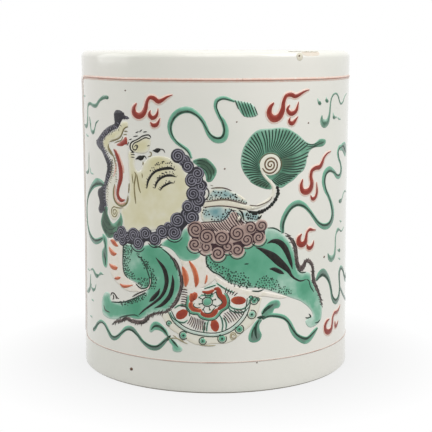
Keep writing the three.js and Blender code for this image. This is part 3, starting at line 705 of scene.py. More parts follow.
def lip_curve(pot):
    """Centre radius, centre height and radius of the lip's rounding, in millimetres."""
    round_lip = (pot.wall / 2 + pot.glaze) / MM
    lip_z = POT_HEIGHT - round_lip
    return glaze_radius(lip_z) - round_lip, lip_z, round_lip


# The coat under the base bends down to the foot ring: distance in from the ring, and drop
BASE_COAT_EDGE = ((1.2, 0), (0.4, 0.15), (0, 0.5))


class GlazedVessel(bpy.types.Operator):
    """Turn the smooth glazed surface outside, over the lip and inside"""
    bl_idname = "brushpot.glazed_vessel"
    bl_label = "Glazed vessel"

    def execute(self, context):
        pot, colours = context.scene.pot_sizes, context.scene.pot_colours
        glaze, wall = pot.glaze / MM, pot.wall / MM
        lip_r, lip_z, round_lip = lip_curve(pot)
        floor = FOOT_HEIGHT + pot.base / MM + glaze
        bend = pot.fillet / MM - glaze
        corner_r = glaze_radius(floor + bend) - wall - 2 * glaze - bend
        foot_clay = glaze_radius(FOOT_HEIGHT) - glaze
        stop = pot.glaze_stop / MM
        profile = [(foot_clay, stop), *arc(foot_clay, stop + glaze, glaze, -60, 0, 4)]
        profile += [(glaze_radius(z), z) for z in np.linspace(FOOT_HEIGHT, lip_z, 40)]
        profile += arc(lip_r, lip_z, round_lip, 0, 180, 20)[1:]
        profile += [(glaze_radius(z) - wall - 2 * glaze, z)
                    for z in np.linspace(lip_z, floor + bend, 24)[1:]]
        profile += arc(corner_r, floor + bend, bend, 0, -90, 8)[1:]
        profile += [(corner_r * share, floor) for share in (0.7, 0.35, 0)]
        piece = lathe("glazed_vessel", profile, pot.segments)
        chip_lip(piece, pot)
        coat = clear_glaze(colours)
        dress(piece, coat, ["outer_glaze", "inner_glaze"])

        under = FOOT_HEIGHT - glaze
        ring = foot_clay - pot.foot_width / MM
        profile = [(0, under), (ring / 2, under)]
        profile += [(ring - inset, under - drop) for inset, drop in BASE_COAT_EDGE]
        dress(lathe("base_glaze_coat", profile, pot.segments), coat, ["base_glaze"])
        return {"FINISHED"}


# How far above the horizon the flat of the chip faces
CHIP_TILT = math.radians(38)
# How far the broken body and the strip of painted shadow beside it lie above the lip, so that they
# show
CHIP_LIFT = 0.03


def chip_bite(pot, along):
    """Depth of the chip's ragged flat at a distance along the lip from its middle, both in
    millimetres."""
    share = abs(along) / (pot.chip_width / MM)
    if share >= 1:
        return 0.0
    ragged = 0.85 + 0.1 * math.sin(along * 1.9) + 0.05 * math.sin(along * 4.3 + 1)
    return pot.chip_depth / MM * (1 - share ** 3) * ragged


def chip_lip(piece, pot):
    """Breaks a shallow flat off the outer crest of the lip."""
    lip_r, lip_z, round_lip = lip_curve(pot)
    out, up = math.cos(CHIP_TILT), math.sin(CHIP_TILT)
    for vert in piece.data.vertices:
        x, y, z = vert.co / MM
        radius = math.hypot(x, y)
        bite = chip_bite(pot, (math.atan2(x, -y) - pot.chip_place) * WAIST_RADIUS)
        over = (radius - lip_r) * out + (z - lip_z) * up - (round_lip - bite)
        if bite > 0 and z > lip_z and over > 0:
            inner = (radius - over * out) / radius
            vert.co = (vert.co.x * inner, vert.co.y * inner, (z - over * up) * MM)


class FootRing(bpy.types.Operator):
    """Turn the bare foot ring"""
    bl_idname = "brushpot.foot_ring"
    bl_label = "Foot ring"

    def execute(self, context):
        pot = context.scene.pot_sizes
        outer = glaze_radius(FOOT_HEIGHT) - pot.glaze / MM
        inner = outer - pot.foot_width / MM
        cut = pot.foot_chamfer / MM
        profile = [(inner, FOOT_HEIGHT), *arc(inner + cut, cut, cut, 180, 270, 5)]
        profile += [(inner + (outer - inner) * share, 0.0) for share in (0.3, 0.6)]
        profile += [*arc(outer - cut, cut, cut, -90, 0, 5),
                    (outer, FOOT_HEIGHT), (inner, FOOT_HEIGHT)]
        piece = lathe("fired_foot_ring", profile, pot.segments)
        dress(piece, bare_body(context.scene.pot_colours), ["foot_ring"])
        return {"FINISHED"}


def paints(context, layer, *kinds):
    """Paintings at the heights of a wash, an enamel, a curl or a line. Each group of pieces has
    a layer of its own, a hair above the last, so that no two coats lie at one height."""
    sizes = context.scene.paint_sizes
    hair = sizes.layer_step
    return [Painting(sizes, getattr(sizes, kind + "_height") + hair * (layer + seed / 10), seed)
            for seed, kind in enumerate(kinds)]


BORDER_CORNER = 2.5
BLEED_WIDTH = 1.8
# Width and tone of the border's upper, lower and upright lines
BORDER_RULES = ((0.55, 0), (0.38, -0.32), (0.34, -0.3))


class PanelBorders(bpy.types.Operator):
    """Rule the iron red line round each panel"""
    bl_idname = "brushpot.panel_borders"
    bl_label = "Panel borders"

    def execute(self, context):
        halo, lines = paints(context, 0, "wash", "line")
        middle, bend = (PANEL_LEFT + PANEL_RIGHT) / 2, BORDER_CORNER
        for edge, way in ((PANEL_LEFT, 1), (PANEL_RIGHT, -1)):
            centre = edge + way * bend
            corner = [(centre - way * bend * math.sin(a), UPPER_LINE - bend + bend * math.cos(a))
                      for a in (0, math.pi / 6, math.pi / 3, math.pi / 2)]
            low = [(u, UPPER_LINE + LOWER_LINE - z) for u, z in corner]
            near = (middle + centre) / 2
            upper = [(middle, UPPER_LINE), (near, UPPER_LINE), *corner]
            lower = [(middle, LOWER_LINE), (near, LOWER_LINE), *low]
            upright = [corner[-1], (edge, (UPPER_LINE + LOWER_LINE) / 2), low[-1]]
            halo.stroke(upper, BLEED_WIDTH, taper=0.9)
            for route, (width, tone) in zip((upper, lower, upright), BORDER_RULES):
                lines.stroke(route, width, taper=0.9, tone=tone)
        lines.build("panel_border_lines", "iron_red_enamel", "iron red line", "border_thin",
                    "border", "border", pool_mm=9, nodes=["panel_border_1", "panel_border_2"])
        halo.build("panel_border_halo", "iron_red_enamel", "iron red bleed", "halo", "glaze")
        return {"FINISHED"}


FACE = [
    (-38.4, 98.4), (-37.6, 99.4), (-36, 98.9), (-34.9, 97.4), (-34.7, 92.4), (-33.4, 91.1),
    (-31.9, 92), (-31.2, 94), (-27.2, 97.4), (-20.5, 97.8), (-14.6, 95.2), (-12.4, 92.6),
    (-10.2, 84.6), (-10.9, 81.6), (-12.3, 79.9), (-12.8, 77.4), (-14.6, 74.6), (-20.4, 69.8),
    (-27.4, 67.2), (-29.4, 67.9), (-31.4, 67.5), (-34, 66.2), (-37, 65.7), (-40, 66.4),
    (-41.7, 68.4), (-42.3, 70.6), (-43.2, 73.6), (-42.8, 75.4), (-40.6, 76.4), (-38.8, 78.4),
    (-38, 86),
]
JAW = [
    (-51.4, 74.4), (-53, 77.6), (-52.6, 81.5), (-47.6, 94), (-48.8, 96.6), (-54.4, 100.4),
    (-54.2, 103), (-50.6, 105.6), (-46, 107.4), (-43.4, 109.4), (-41.6, 111.2), (-38.4, 111),
    (-38.3, 109.4), (-40.2, 108.2), (-41.2, 106.4), (-42.6, 105), (-45.6, 103.8), (-48.6, 103),
    (-49.9, 101.6), (-50, 99.6), (-46.8, 96), (-45.6, 89.5), (-47.2, 80), (-46.2, 77.8),
    (-44.2, 76.6), (-43.2, 75.2), (-45.4, 70.6), (-48, 69.6), (-50.2, 71.2),
]
BROW_PATCH = [
    (-36.8, 102.4), (-28.2, 105.6), (-27, 104.6), (-28.4, 99.6), (-30.4, 98.7), (-35.6, 99.2),
    (-37, 100.4),
]
FACE_POOLS = [
    (-49, 105, 4, 0.35), (-52, 101, 3, 0.4), (-24, 95.5, 4, 0.45), (-33, 101, 3, 0.3),
    (-13, 88, 3, 0.2), (-36, 88, 3, 0.25), (-30, 85, 4, 0.3), (-35, 72, 6, 0.1),
    (-26, 75, 5, -0.2), (-49.4, 90, 6, -1.0), (-50.5, 79, 5, -0.7), (-40, 110, 2, 0.3),
]
MOUTH = [
    (-47.6, 100.6), (-46, 96.6), (-45.2, 87.6), (-46.3, 83.4), (-46.2, 80), (-43.6, 77.8),
    (-40.2, 78.6), (-38.4, 82.4), (-38.6, 98.6), (-38, 101.4), (-39, 105.4), (-41, 105.4),
    (-43.4, 103.4), (-46.8, 102.8),
]
TONGUE = [
    (-47, 99.6, 1.1), (-45.8, 98.4, 1.8), (-43.5, 93.8, 2.3), (-42.8, 88.4, 2.6), (-44.6, 83, 1.9),
    (-44.9, 80.8, 1.9), (-43.9, 79.1, 1.9), (-42.4, 78.5, 1.7), (-40.6, 79, 0.9),
]
PALATE = [
    (-45.6, 101.3), (-41.6, 101), (-40.2, 101.7), (-38.8, 102), (-39, 105), (-39.8, 105.3),
    (-41.6, 103.7),
]
GUMS = [
    [(-46, 84.4), (-46.9, 81.6), (-46.6, 79.4), (-45, 77.6), (-42.4, 77.1), (-40.5, 77.8)],
    [(-45.9, 99.6), (-44.2, 98), (-43, 95.6), (-41.6, 93), (-41, 90)],
    [(-47.4, 88), (-46, 91), (-45.6, 94)],
]
LIPS = [
    [(-46.6, 85, 0.5), (-47.3, 83, 0.9), (-47.5, 80, 1), (-46.5, 77.7, 0.9), (-44.5, 76.5, 0.9),
     (-42, 76.3, 0.9), (-40, 77.4, 0.9), (-39.1, 79, 0.9), (-38.8, 80.8, 0.5)],
    [(-50.3, 101.5, 0.7), (-50.6, 100, 1.2), (-48.6, 97.8, 1.4), (-47.3, 96.6, 0.7)],
    [(-49.5, 102.5, 0.5), (-44.5, 104, 0.7), (-42.5, 105.2, 0.7), (-40.5, 108.4, 0.6),
     (-39, 109.2, 0.6), (-38.2, 109.2, 0.4)],
]
FACE_LINES = [
    [(-46.4, 102.2), (-44.4, 102.9), (-42.2, 103.6), (-41.2, 105.2)],
    [(-40.6, 107.4), (-38.6, 107.4)], [(-40.9, 105.9), (-39, 106.2)],
    [(-47.8, 75.6), (-45, 75.2), (-41.4, 75.5)], [(-38.2, 86), (-38.3, 84), (-38.6, 82)],
    [(-47.6, 97.4), (-46.6, 95.4), (-46, 93)], [(-36.5, 90), (-36, 86)],
    [(-28, 99.6), (-27, 99.3), (-27, 98), (-28.4, 97.5)], [(-30.8, 95.5), (-30.9, 93.8)],
    [(-31.4, 90.6), (-31.2, 88.8)],
]
CHEEK_LINES = [
    [(-35.3, 91), (-34.6, 90.4), (-35.4, 85), (-34.7, 77.8)],
    [(-34, 90), (-33.7, 88), (-32.8, 84), (-32.2, 82.5)],
]
BROW = [
    [(-27, 105.3), (-27.8, 106.3), (-31, 105.8), (-33, 104.6), (-36.8, 102.8), (-37.4, 101.5),
     (-37, 99.9), (-35.8, 99.2)],
    [(-27.3, 104.8), (-29.5, 105.2), (-33, 103.6), (-35, 102.8), (-36, 101.6), (-35.6, 100.2),
     (-34.5, 100), (-33.3, 101.6), (-34.3, 102), (-35, 101.2)],
]
BROW_HAIRS = [
    [(-35.6, 105.4), (-33.2, 105.8)], [(-34.4, 107), (-32.8, 107.6)],
    [(-32.4, 107.4), (-31.2, 108.4)], [(-30.6, 107.4), (-28.8, 107.7)],
    [(-37.8, 104), (-36.4, 104.4)], [(-39, 101.5), (-38, 103)], [(-37, 98.9), (-35.2, 98.9)],
    [(-37, 98), (-35, 98)], [(-37, 96.9), (-35, 96.9)], [(-28.8, 101.8), (-27.6, 102.2)],
]
EYES = [
    [(-34.5, 96.1, 0.5), (-33.2, 96.8, 1.6), (-32, 96.8, 2.2), (-31, 97.2, 1.5),
     (-30.2, 97.7, 0.7), (-29.5, 97.3, 0.5), (-29.3, 96.5, 0.4)],
    [(-26.2, 100.1, 0.5), (-24.1, 100.2, 2), (-23.2, 100.6, 1.5), (-22.6, 100.9, 0.6)],
    [(-22.6, 100.9, 0.5), (-21.3, 100.5, 0.4), (-20.8, 99.4, 0.3)],
]
EYEBROWS = [
    [(-29.2, 84.5, 0.9), (-28.3, 88, 1.1), (-25, 91.7, 1.1), (-18, 93.2, 1.2), (-16.6, 92.4, 0.6)],
    [(-25.3, 84.8, 0.9), (-24.6, 87, 1.1), (-23, 88.8, 1.1), (-21, 89.9, 1.1), (-19, 90.3, 1.1),
     (-17, 90.1, 0.9), (-16, 89.7, 0.5)],
    [(-22.9, 84, 0.7), (-22, 85.4, 0.9), (-18.4, 87.3, 0.9), (-17, 87.2, 0.5)],
]
BROW_STIPPLE = [
    [(-27.6, 91.6), (-25.8, 94.2), (-22, 95.8), (-17, 95.6), (-16, 93.6), (-20, 94.4),
     (-24, 93.6)],
    [(-24.8, 88.6), (-21.8, 91.4), (-17, 92), (-17, 91), (-21, 90.8), (-23.8, 88.2)],
    [(-21.6, 87), (-18.6, 89), (-16.2, 88.4), (-18.4, 88)],
]
LEFT_EAR = [
    (-54, 75), (-56.6, 70.6), (-57.6, 67), (-52.4, 61.7), (-49, 62.1), (-43, 66.8), (-42, 70.4),
    (-43.2, 73.6), (-44, 71.4), (-48.4, 68.2), (-52, 72), (-51.9, 74.6),
]
RIGHT_EAR = [
    (-9.2, 96.3), (-4, 97.6), (0, 94), (0.5, 91.8), (-1.7, 88.1), (-3.4, 88), (-4.2, 91),
    (-5.5, 93),
]
EAR_LINES = [
    [(-8.6, 96.3), (-5.6, 96.7), (-2.6, 95.3), (-0.8, 92.8), (-0.6, 90.4)],
    [(-7.8, 95.4), (-5, 95.4), (-2.8, 93.6), (-1.7, 91), (-2, 89)],
    [(-6.2, 94.2), (-4.2, 93), (-3, 90.8), (-3, 88.8)],
    [(-56.2, 68.6), (-53.6, 66.2), (-50, 65.4), (-46.4, 66.8)],
    [(-55.6, 66.4), (-52.6, 64.2), (-49, 63.8), (-46, 65.2)],
    [(-55, 71), (-52.8, 68.4), (-50, 67.2)], [(-54.4, 73.4), (-53.4, 71.4), (-52, 69.8)],
    [(-56.4, 67.6), (-55, 65.2), (-52.4, 62.6)],
]


LEFT_EAR_POOLS = [(-46, 65.5, 3, -0.5), (-53, 70, 3, 0.3)]
RIGHT_EAR_POOLS = [(-0.5, 90, 1.5, -0.4), (-5, 96, 2, 0.3)]
# Rows of short hairs on the jaw: route, length, spacing, width and lean
JAW_HAIRS = [
    ([(-46.5, 97), (-46.2, 86)], 1.4, 1.05, 0.34, 90),
    ([(-48.8, 95), (-50.2, 85.5)], 1.7, 1, 0.36, 90),
    ([(-51.8, 84), (-52.6, 77)], 1.5, 1.1, 0.34, 75),
]


class LionHead(bpy.types.Operator):
    """Paint the lion's face, mouth, eyes and ears"""
    bl_idname = "brushpot.lion_head"
    bl_label = "Lion's head"

    def execute(self, context):
        face, white, red, gums, ink, tan, ears, veins = paints(
            context, 1, "enamel", "wash", "line", "curl", "line", "line", "curl", "line")
        for outline in (FACE, JAW, BROW_PATCH):
            face.fill(outline, pools=FACE_POOLS)
        white.fill(MOUTH)
        red.stroke(TONGUE)
        red.fill(PALATE, thin=0.6)
        gums.strokes(GUMS, 1.0)
        tan.strokes(LIPS)
        tan.strokes(CHEEK_LINES, 0.7)
        tan.strokes(FACE_LINES, 0.5)
        tan.spiral(-47, 73, 2.5, 2, 0.5, start=60, way=-1)
        for hairs in JAW_HAIRS:
            tan.ticks(*hairs)
        ink.strokes(BROW, 0.55, taper=0.6)
        ink.dot(-33.6, 101.3, 0.55)
        ink.strokes(EYES)
        ink.strokes(EYEBROWS)
        ink.strokes(BROW_HAIRS, 0.45)
        for brow in EYEBROWS:
            ink.ticks(brow, 1.15, 1.05, 0.44, lean=80, wander=8)
        for outline in BROW_STIPPLE:
            ink.stipple(outline, 1, 0.34)
        ears.fill(LEFT_EAR, pools=LEFT_EAR_POOLS)
        ears.fill(RIGHT_EAR, pools=RIGHT_EAR_POOLS)
        veins.strokes(EAR_LINES, 0.55)
        face.build("lion_face_wash", "yellow_enamel", "straw yellow enamel", "yellow_thin",
                   "yellow", "yellow_deep", nodes=["lion_face"])
        white.build("lion_mouth_white", "yellow_enamel", "white enamel", "glaze", "blush")
        red.build("lion_tongue", "iron_red_enamel", "iron red enamel", "red_thin", "red",
                  "red_deep")
        gums.build("lion_gums", "iron_red_enamel", "iron red blush", "pink", "blush")
        ink.build("lion_face_ink", "aubergine_enamel", "manganese black line", "ink", "ink_thin")
        tan.build("lion_face_lines", "brown_enamel", "olive tan line", "tan", "tan_thin")
        ears.build("lion_ears", "green_enamel", "dark copper green enamel", "fan", "dark_green",
                   "dark_green_deep", nodes=["lion_left_ear", "lion_right_ear"])
        veins.build("lion_ear_lines", "green_enamel", "dark green line", "leaf_line", "dark_green")
        return {"FINISHED"}


MANE_EDGE = [
    (-43, 109.9), (-44, 108.3), (-46, 108), (-51.5, 105.2), (-53.8, 103.9), (-55, 102),
    (-53.2, 98.4), (-48.2, 92.8), (-48.4, 90.8), (-48.5, 89), (-50, 87.6), (-51.5, 85.3),
    (-53, 83), (-53.2, 77), (-52.6, 75.2),
]
MANE_STRIP = [
    (-46.5, 114.3), (-45.3, 115.7), (-42.5, 115.8), (-40.9, 115), (-40, 113.9), (-38.4, 113.5),
    (-37.5, 112.8), (-38.8, 112.2), (-40.8, 112.4), (-41.8, 111.6), *MANE_EDGE, (-53.5, 73),
    (-58.5, 71.5), (-59.8, 73.3), (-58.6, 75), (-59, 77.5), (-60.2, 79.5), (-59.5, 81.5),
    (-56.5, 83), (-54, 85.5), (-53, 88), (-52, 90.5), (-51.8, 92.5), (-53.4, 95), (-55.6, 97.8),
    (-58.6, 99.4), (-60.5, 101), (-60.2, 102.2), (-58, 104), (-55, 106.2), (-52, 108),
    (-49, 109.3), (-46.3, 110.3), (-46.4, 112.4),
]
MANE_TOP = [(-58, 103.4), (-52, 107.4), (-46.6, 109.6)]
MANE_POOLS = [
    (-44, 113, 4, 0.5), (-58, 101.4, 3.4, -0.6), (-50, 91, 4, 0.3), (-49, 107.6, 3, 0.2),
    (-57, 78, 4, 0.2),
]
# Middle and radius of each curl
MANE_CURLS = [
    (-46, 63, 2), (-42.2, 61.9, 2.3), (-43, 65, 2.5), (-39.4, 63.4, 2), (-36, 64.6, 2.8),
    (-33.8, 61.5, 2.6), (-30, 65.7, 2.6), (-25.7, 63.8, 2.5), (-22.2, 67.1, 2.5),
    (-19.6, 69.4, 1.8), (-17, 67, 2.7), (-15.5, 72.2, 2.8), (-11.9, 75, 2), (-9.7, 73.5, 2.6),
    (-11.2, 77.8, 2.3), (-7.7, 77, 1.7), (-7, 80.5, 2.5), (-9, 83.1, 2.6), (-6, 86.3, 2.3),
    (-9.5, 88.5, 2.6), (-7.2, 91.5, 2.3), (-6.2, 83.6, 1.9), (-7.3, 88.7, 2), (-11.2, 94.2, 2.2),
    (-12.6, 96.4, 2.2), (-15.2, 98.2, 2.6),
]
MANE_GROUND = [
    (-46.6, 63.4), (-44.5, 62.4), (-42, 61.2), (-34.2, 60.4), (-31, 61.2), (-30, 62.4),
    (-26.2, 62.4), (-22.7, 63.6), (-19.8, 65.4), (-16.6, 65.2), (-14.3, 66.6), (-12.6, 69.2),
    (-10, 71.8), (-8.2, 73.2), (-6.4, 79), (-5, 86), (-6.6, 92.6), (-9.4, 93.6), (-10.2, 96.2),
    (-12.6, 98.4), (-15.2, 99.2), (-17.6, 98.6), (-17.6, 97.4), (-14.2, 95.7), (-11.9, 92.9),
    (-9.7, 84.5), (-10.4, 81.3), (-11.8, 79.7), (-12.3, 77.1), (-14.1, 74.2), (-20, 69.3),
    (-27.4, 66.6), (-29.5, 67.3), (-34, 65.6), (-37.2, 65.1), (-40.3, 65.8), (-42.2, 67.8),
]
# Dark lines round the outer curls: middle, radius, and where they start and end
MANE_RINGS = [
    (-17, 67, 3.9, 195, 335), (-33.8, 61.5, 3.7, 190, 330), (-25.7, 63.8, 3.5, 210, 330),
    (-5.6, 83.4, 3, -80, 80),
]


class LionMane(bpy.types.Operator):
    """Paint the mane's dark band and curls"""
    bl_idname = "brushpot.lion_mane"
    bl_label = "Lion's mane"

    def execute(self, context):
        mane, pale, dark = paints(context, 2, "curl", "curl", "line")
        dark.ticks(MANE_EDGE, 1.2, 1, 0.42, lean=80)
        dark.stipple(MANE_STRIP, 1.7, 0.36)
        for u, z, radius, start, end in MANE_RINGS:
            dark.stroke(ring_route(u, z, radius, radius, start, end, steps=8), 0.5)
        mane.fill(MANE_STRIP, thin=0.9, pools=MANE_POOLS)
        mane.fill(MANE_GROUND, thin=0.3)
        base = mane.height
        pale.height = base + CURL_LINE
        pale.ticks(MANE_EDGE, 1.9, 1.3, 0.42, lean=-80)
        pale.ticks(MANE_TOP, 1.3, 1.4, 0.36, lean=-60)
        for i, (u, z, radius) in enumerate(MANE_CURLS):
            mane.height = base + CURL_STEP * (i % 3 + 1)
            pale.height = mane.height + CURL_LINE
            mane.oval(u, z, radius * 1.2, radius * 1.2, thin=0.3)
            pale.spiral(u, z, radius * 1.05, radius * 0.95, 0.46, start=40 * i, way=1 - i % 2 * 2)
        mane.build("lion_mane", "aubergine_enamel", "aubergine enamel", "aubergine_thin",
                   "aubergine", "aubergine_deep", pool_mm=3,
                   nodes=["lion_mane_strip", "lion_mane_curls"])
        pale.build("lion_mane_curl_lines", "aubergine_enamel", "pale aubergine line", "curl_line",
                   "aubergine_thin")
        dark.build("lion_mane_dark_lines", "aubergine_enamel", "aubergine black line",
                   "aubergine_deep", "ink")
        return {"FINISHED"}


FOREQUARTER = [
    (-41.2, 60), (-32, 60.4), (-28, 61.4), (-23, 61), (-16.8, 55.2), (-15, 51), (-14.5, 46),
    (-15.4, 41), (-17.5, 37), (-20.5, 34.3), (-25, 33), (-34, 29.1), (-40, 29.3), (-46, 27.3),
    (-52, 26.6), (-56.6, 27.8), (-57.6, 31), (-56.8, 35), (-54, 37.8), (-51, 37.6), (-50.3, 35),
    (-47, 34.4), (-42, 35.4), (-29.5, 42), (-31.5, 42.6), (-35, 44.6), (-39.5, 46), (-41.8, 49),
    (-41.8, 57),
]
NECK = [
    (-23, 61.4), (-20, 64), (-15, 64.4), (-13.4, 68), (-11, 69.2), (-10.4, 65), (-9, 60.5),
    (-6, 59.2), (-6.2, 57.4), (-8, 56.1), (-13.5, 55.4), (-17.5, 59.4), (-20, 60.8),
]
HINDQUARTER = [
    (-4, 58.4), (-3, 53.4), (-1.2, 51.4), (2, 49.8), (4.5, 47.5), (14, 44.2), (18, 44), (34, 38),
    (38.5, 36), (44.5, 31), (45.2, 28.6), (42.8, 28.6), (40.8, 27.2), (42, 25), (44.5, 24),
    (50.7, 26.3), (51.4, 34), (49.5, 38), (44.2, 44.6), (43.6, 47.3), (41.5, 48.4), (38.5, 48.5),
    (36.4, 50), (33.8, 59), (28, 66.2), (22, 68.8), (18, 66), (8, 64), (0, 61),
]
GREEN_POOLS = [
    (-36, 55, 5, -0.3), (-27, 57, 4, 0.35), (-20, 55, 4, 0.2), (-36, 34.6, 4, 0.45),
    (-52, 31, 3, 0.1), (-58, 31.5, 2.6, -0.7), (-54.5, 38, 2, -0.7), (-54, 26.6, 2.4, -0.6),
    (-48, 26.6, 2.2, -0.5), (-17, 62, 4, 0.6), (10, 60, 8, 0.15), (7, 52, 5, 0.25),
    (18, 53, 6, 0.25), (24, 66, 4, -0.25), (33, 44, 6, -0.2), (41, 42, 3.4, 0.5),
    (48.6, 31, 5, -0.35), (43, 26, 3, -0.35), (27, 45, 5, -0.25), (-24, 36, 5, -0.1),
    (-30, 48, 5, 0.1),
]
STRIPES = [
    [(-25.2, 56.2, 0.5), (-21.4, 51.5, 1.9), (-20.4, 46, 2), (-22.5, 40.5, 1.5), (-31.5, 33, 0.8),
     (-33.6, 31, 0.6)],
    [(-17.9, 49.5, 0.5), (-17.6, 46.5, 1.4), (-18.8, 41, 2), (-22.3, 36.8, 1.6), (-26, 34.8, 0.5)],
    [(-23.4, 43.4, 0.6), (-24.4, 41.4, 1.7), (-27.6, 38, 1.7), (-28.4, 37.4, 0.6)],
    [(16.6, 60.8, 0.6), (18.5, 60.2, 1.3), (24, 56.8, 3.5), (27, 54.2, 3.7), (31.5, 50.2, 2.2),
     (33, 48, 1.3), (35, 46.3, 0.9), (38, 45, 0.7), (41, 45.3, 0.5)],
    [(21.5, 62.3, 0.7), (23.5, 63, 1.5), (26, 62.8, 2.4), (28.5, 61.2, 2.8), (30.5, 58.5, 2.8),
     (33, 52.5, 1.5), (33.5, 50.5, 0.6)],
    [(22.7, 51.6, 0.8), (24.5, 51.4, 1.8), (28.6, 49.4, 1.5), (29.4, 49, 0.5)],
]
BODY_LINES = [
    [(-22.6, 60.2), (-19.5, 58), (-17.2, 55), (-15.9, 51.4)],
    [(-25.8, 60.8), (-24, 60.7), (-22.2, 60.4)],
    [(-33.7, 30.4), (-35.6, 30.8), (-41, 29.6), (-44.6, 28.3)],
    [(-50, 34.2), (-42, 35.4), (-33, 39.4), (-30.5, 41)],
    [(-34.2, 56.3), (-32, 55), (-28.2, 47), (-29, 43.6), (-32, 42.5), (-33.6, 43), (-35, 44.2)],
    [(-27.4, 50), (-27.2, 47), (-27.6, 44.6), (-28.6, 42.4)],
    [(-39.4, 46), (-41.2, 47.6), (-42, 50), (-42, 59.6)], [(36.2, 50), (38.3, 48.5), (41, 48.4)],
    [(41.2, 45.2), (42.6, 44.6), (43.6, 42), (45.8, 39.2)], [(11.8, 54.2), (13.6, 54.3)],
    [(40.8, 28.9), (42.2, 28.5), (43.8, 28.8)], [(42.8, 30.2), (44, 29), (44, 28.2)],
    [(46.6, 25.6), (48.4, 25.6), (50, 26.4)], [(21.6, 68.6), (24.6, 68.4), (28, 66.6)],
    [(-3.9, 57.4), (-3.4, 54.2), (-1.4, 51.6), (1.6, 50), (4.4, 47.7)],
    [(15, 42.9), (18, 42.6), (20, 43.2)],
]
# Outlines that fine dots fill, on the foreleg and on the haunch
FORE_SPOTS = [
    [(-41.2, 59.6), (-36, 59.8), (-37.6, 55), (-38, 50), (-34.5, 46.6), (-36.4, 45.4),
     (-40.4, 47.6), (-41.6, 52)],
    [(-35, 57.6), (-31.5, 56), (-29, 54), (-29.2, 51), (-30.6, 50.4), (-32, 53)],
    [(-30.6, 54.4), (-28.6, 54), (-26, 50), (-24.8, 46), (-25.6, 42.6), (-27.8, 42.6), (-27.6, 46),
     (-28.4, 49.6)],
    [(-34, 46.6), (-31, 47), (-29, 47), (-29, 44.6), (-30.6, 43.4), (-33.6, 43.8)],
    [(-45, 35), (-40, 36.2), (-34.6, 38.8), (-30, 41), (-30.2, 39), (-34, 36.4), (-38, 34.8),
     (-44, 33.8)],
]
HIND_SPOTS = [
    [(-4.2, 58), (-3.8, 54), (-1.4, 51.4), (2, 49.8), (4.6, 47.6), (6.8, 47.4), (6.4, 51.6),
     (3.6, 53.6), (0.6, 54.4), (-1.8, 57.6)],
    [(4.4, 48.6), (6, 46.6), (10, 45.4), (14, 44.6), (13.6, 48.6), (10.6, 51.4), (6.6, 51.4)],
    [(16, 44.4), (20, 43.8), (26, 41.8), (27.6, 44), (25, 47.8), (20, 49), (17, 47)],
    [(27, 41.4), (32.4, 39.4), (33.8, 41), (30.4, 43.8), (27.4, 44)],
    [(5, 47.4), (5.6, 46), (15, 44.4), (15.4, 46), (8, 47.6)],
]
FUR = [
    [(-19.5, 34.2, 0.6), (-22, 33.4, 0.8), (-25.5, 32.6, 1), (-28.5, 31.2, 1.4),
     (-30.2, 29.3, 1.9), (-32, 28.2, 1.9), (-37.5, 28, 1.7), (-40, 28.6, 1.7), (-42, 27.8, 1.3),
     (-48.5, 25.3, 0.6)],
    [(-19.2, 58, 0.6), (-17.5, 56, 1), (-14.8, 51, 1.2), (-14, 46, 1.3), (-15.6, 40, 1.6),
     (-19.7, 34.2, 0.7)],
    [(31, 65.4, 1), (34.5, 60.5, 1.7), (36.5, 51.4, 2.4), (38.3, 50.2, 2.6), (39.8, 51.4, 2.2),
     (40.8, 53, 1.7), (42.4, 53, 1.7), (44, 51.8, 1.7), (45, 49.8, 1.5), (45.8, 44, 2.1),
     (49, 38.2, 1.5), (50.6, 35, 1.1), (51.2, 32.4, 0.6)],
]
FUR_LINES = [
    [(-28.4, 30.6), (-30, 28.8), (-33, 27.6)], [(-38.6, 28.2), (-41, 28.8), (-42.8, 28)],
    [(-17.2, 56.6), (-15.4, 53.6), (-14.4, 50.4)], [(-13.6, 49.6), (-13.4, 46), (-14, 43)],
    [(-14.2, 42.4), (-15.6, 38.6), (-18, 35.4)], [(33.6, 63.4), (35.4, 60), (36.2, 56)],
    [(35.6, 55), (35.8, 52), (37.4, 50)], [(44.8, 49.6), (44.9, 46.4), (45.6, 43.4)],
    [(46.4, 43.4), (48.4, 40.2), (50.2, 36.6)],
    [(-50.3, 37), (-49.4, 38.2), (-48, 38.2), (-45.8, 36.6), (-44.8, 36.4)],
    [(-55.6, 31.8), (-54.6, 30), (-51, 29.4)], [(-48.6, 37.6), (-48.2, 36.2), (-48.8, 35.4)],
    [(-46.8, 37.4), (-46.4, 36)], [(-37, 38.4), (-34, 40.2), (-31, 41.6), (-29.5, 42.4)],
]
CHEST = [
    (-51.4, 61.3), (-51.7, 57), (-50.8, 48.4), (-49, 45.2), (-42, 41), (-37, 40.4), (-32, 41.6),
    (-41.2, 47.4), (-42.2, 52), (-42.4, 60.2),
]
BELLY = [
    (-14.6, 57), (-13.4, 52), (-12.8, 48), (-13.2, 44.2), (-10.4, 43.4), (-6, 44.2), (-2, 46.4),
    (0.6, 49.8), (-1.8, 51.4), (-3.6, 54), (-4.4, 58), (-6.4, 58.2), (-8.4, 56.2), (-12, 55.6),
]
UNDERSIDE = [
    (-1.4, 50.6), (3, 47.6), (13, 43.4), (20, 42.4), (31, 39), (28, 38.6), (20, 40.2), (13, 40.4),
    (7, 42.6), (2, 45),
]
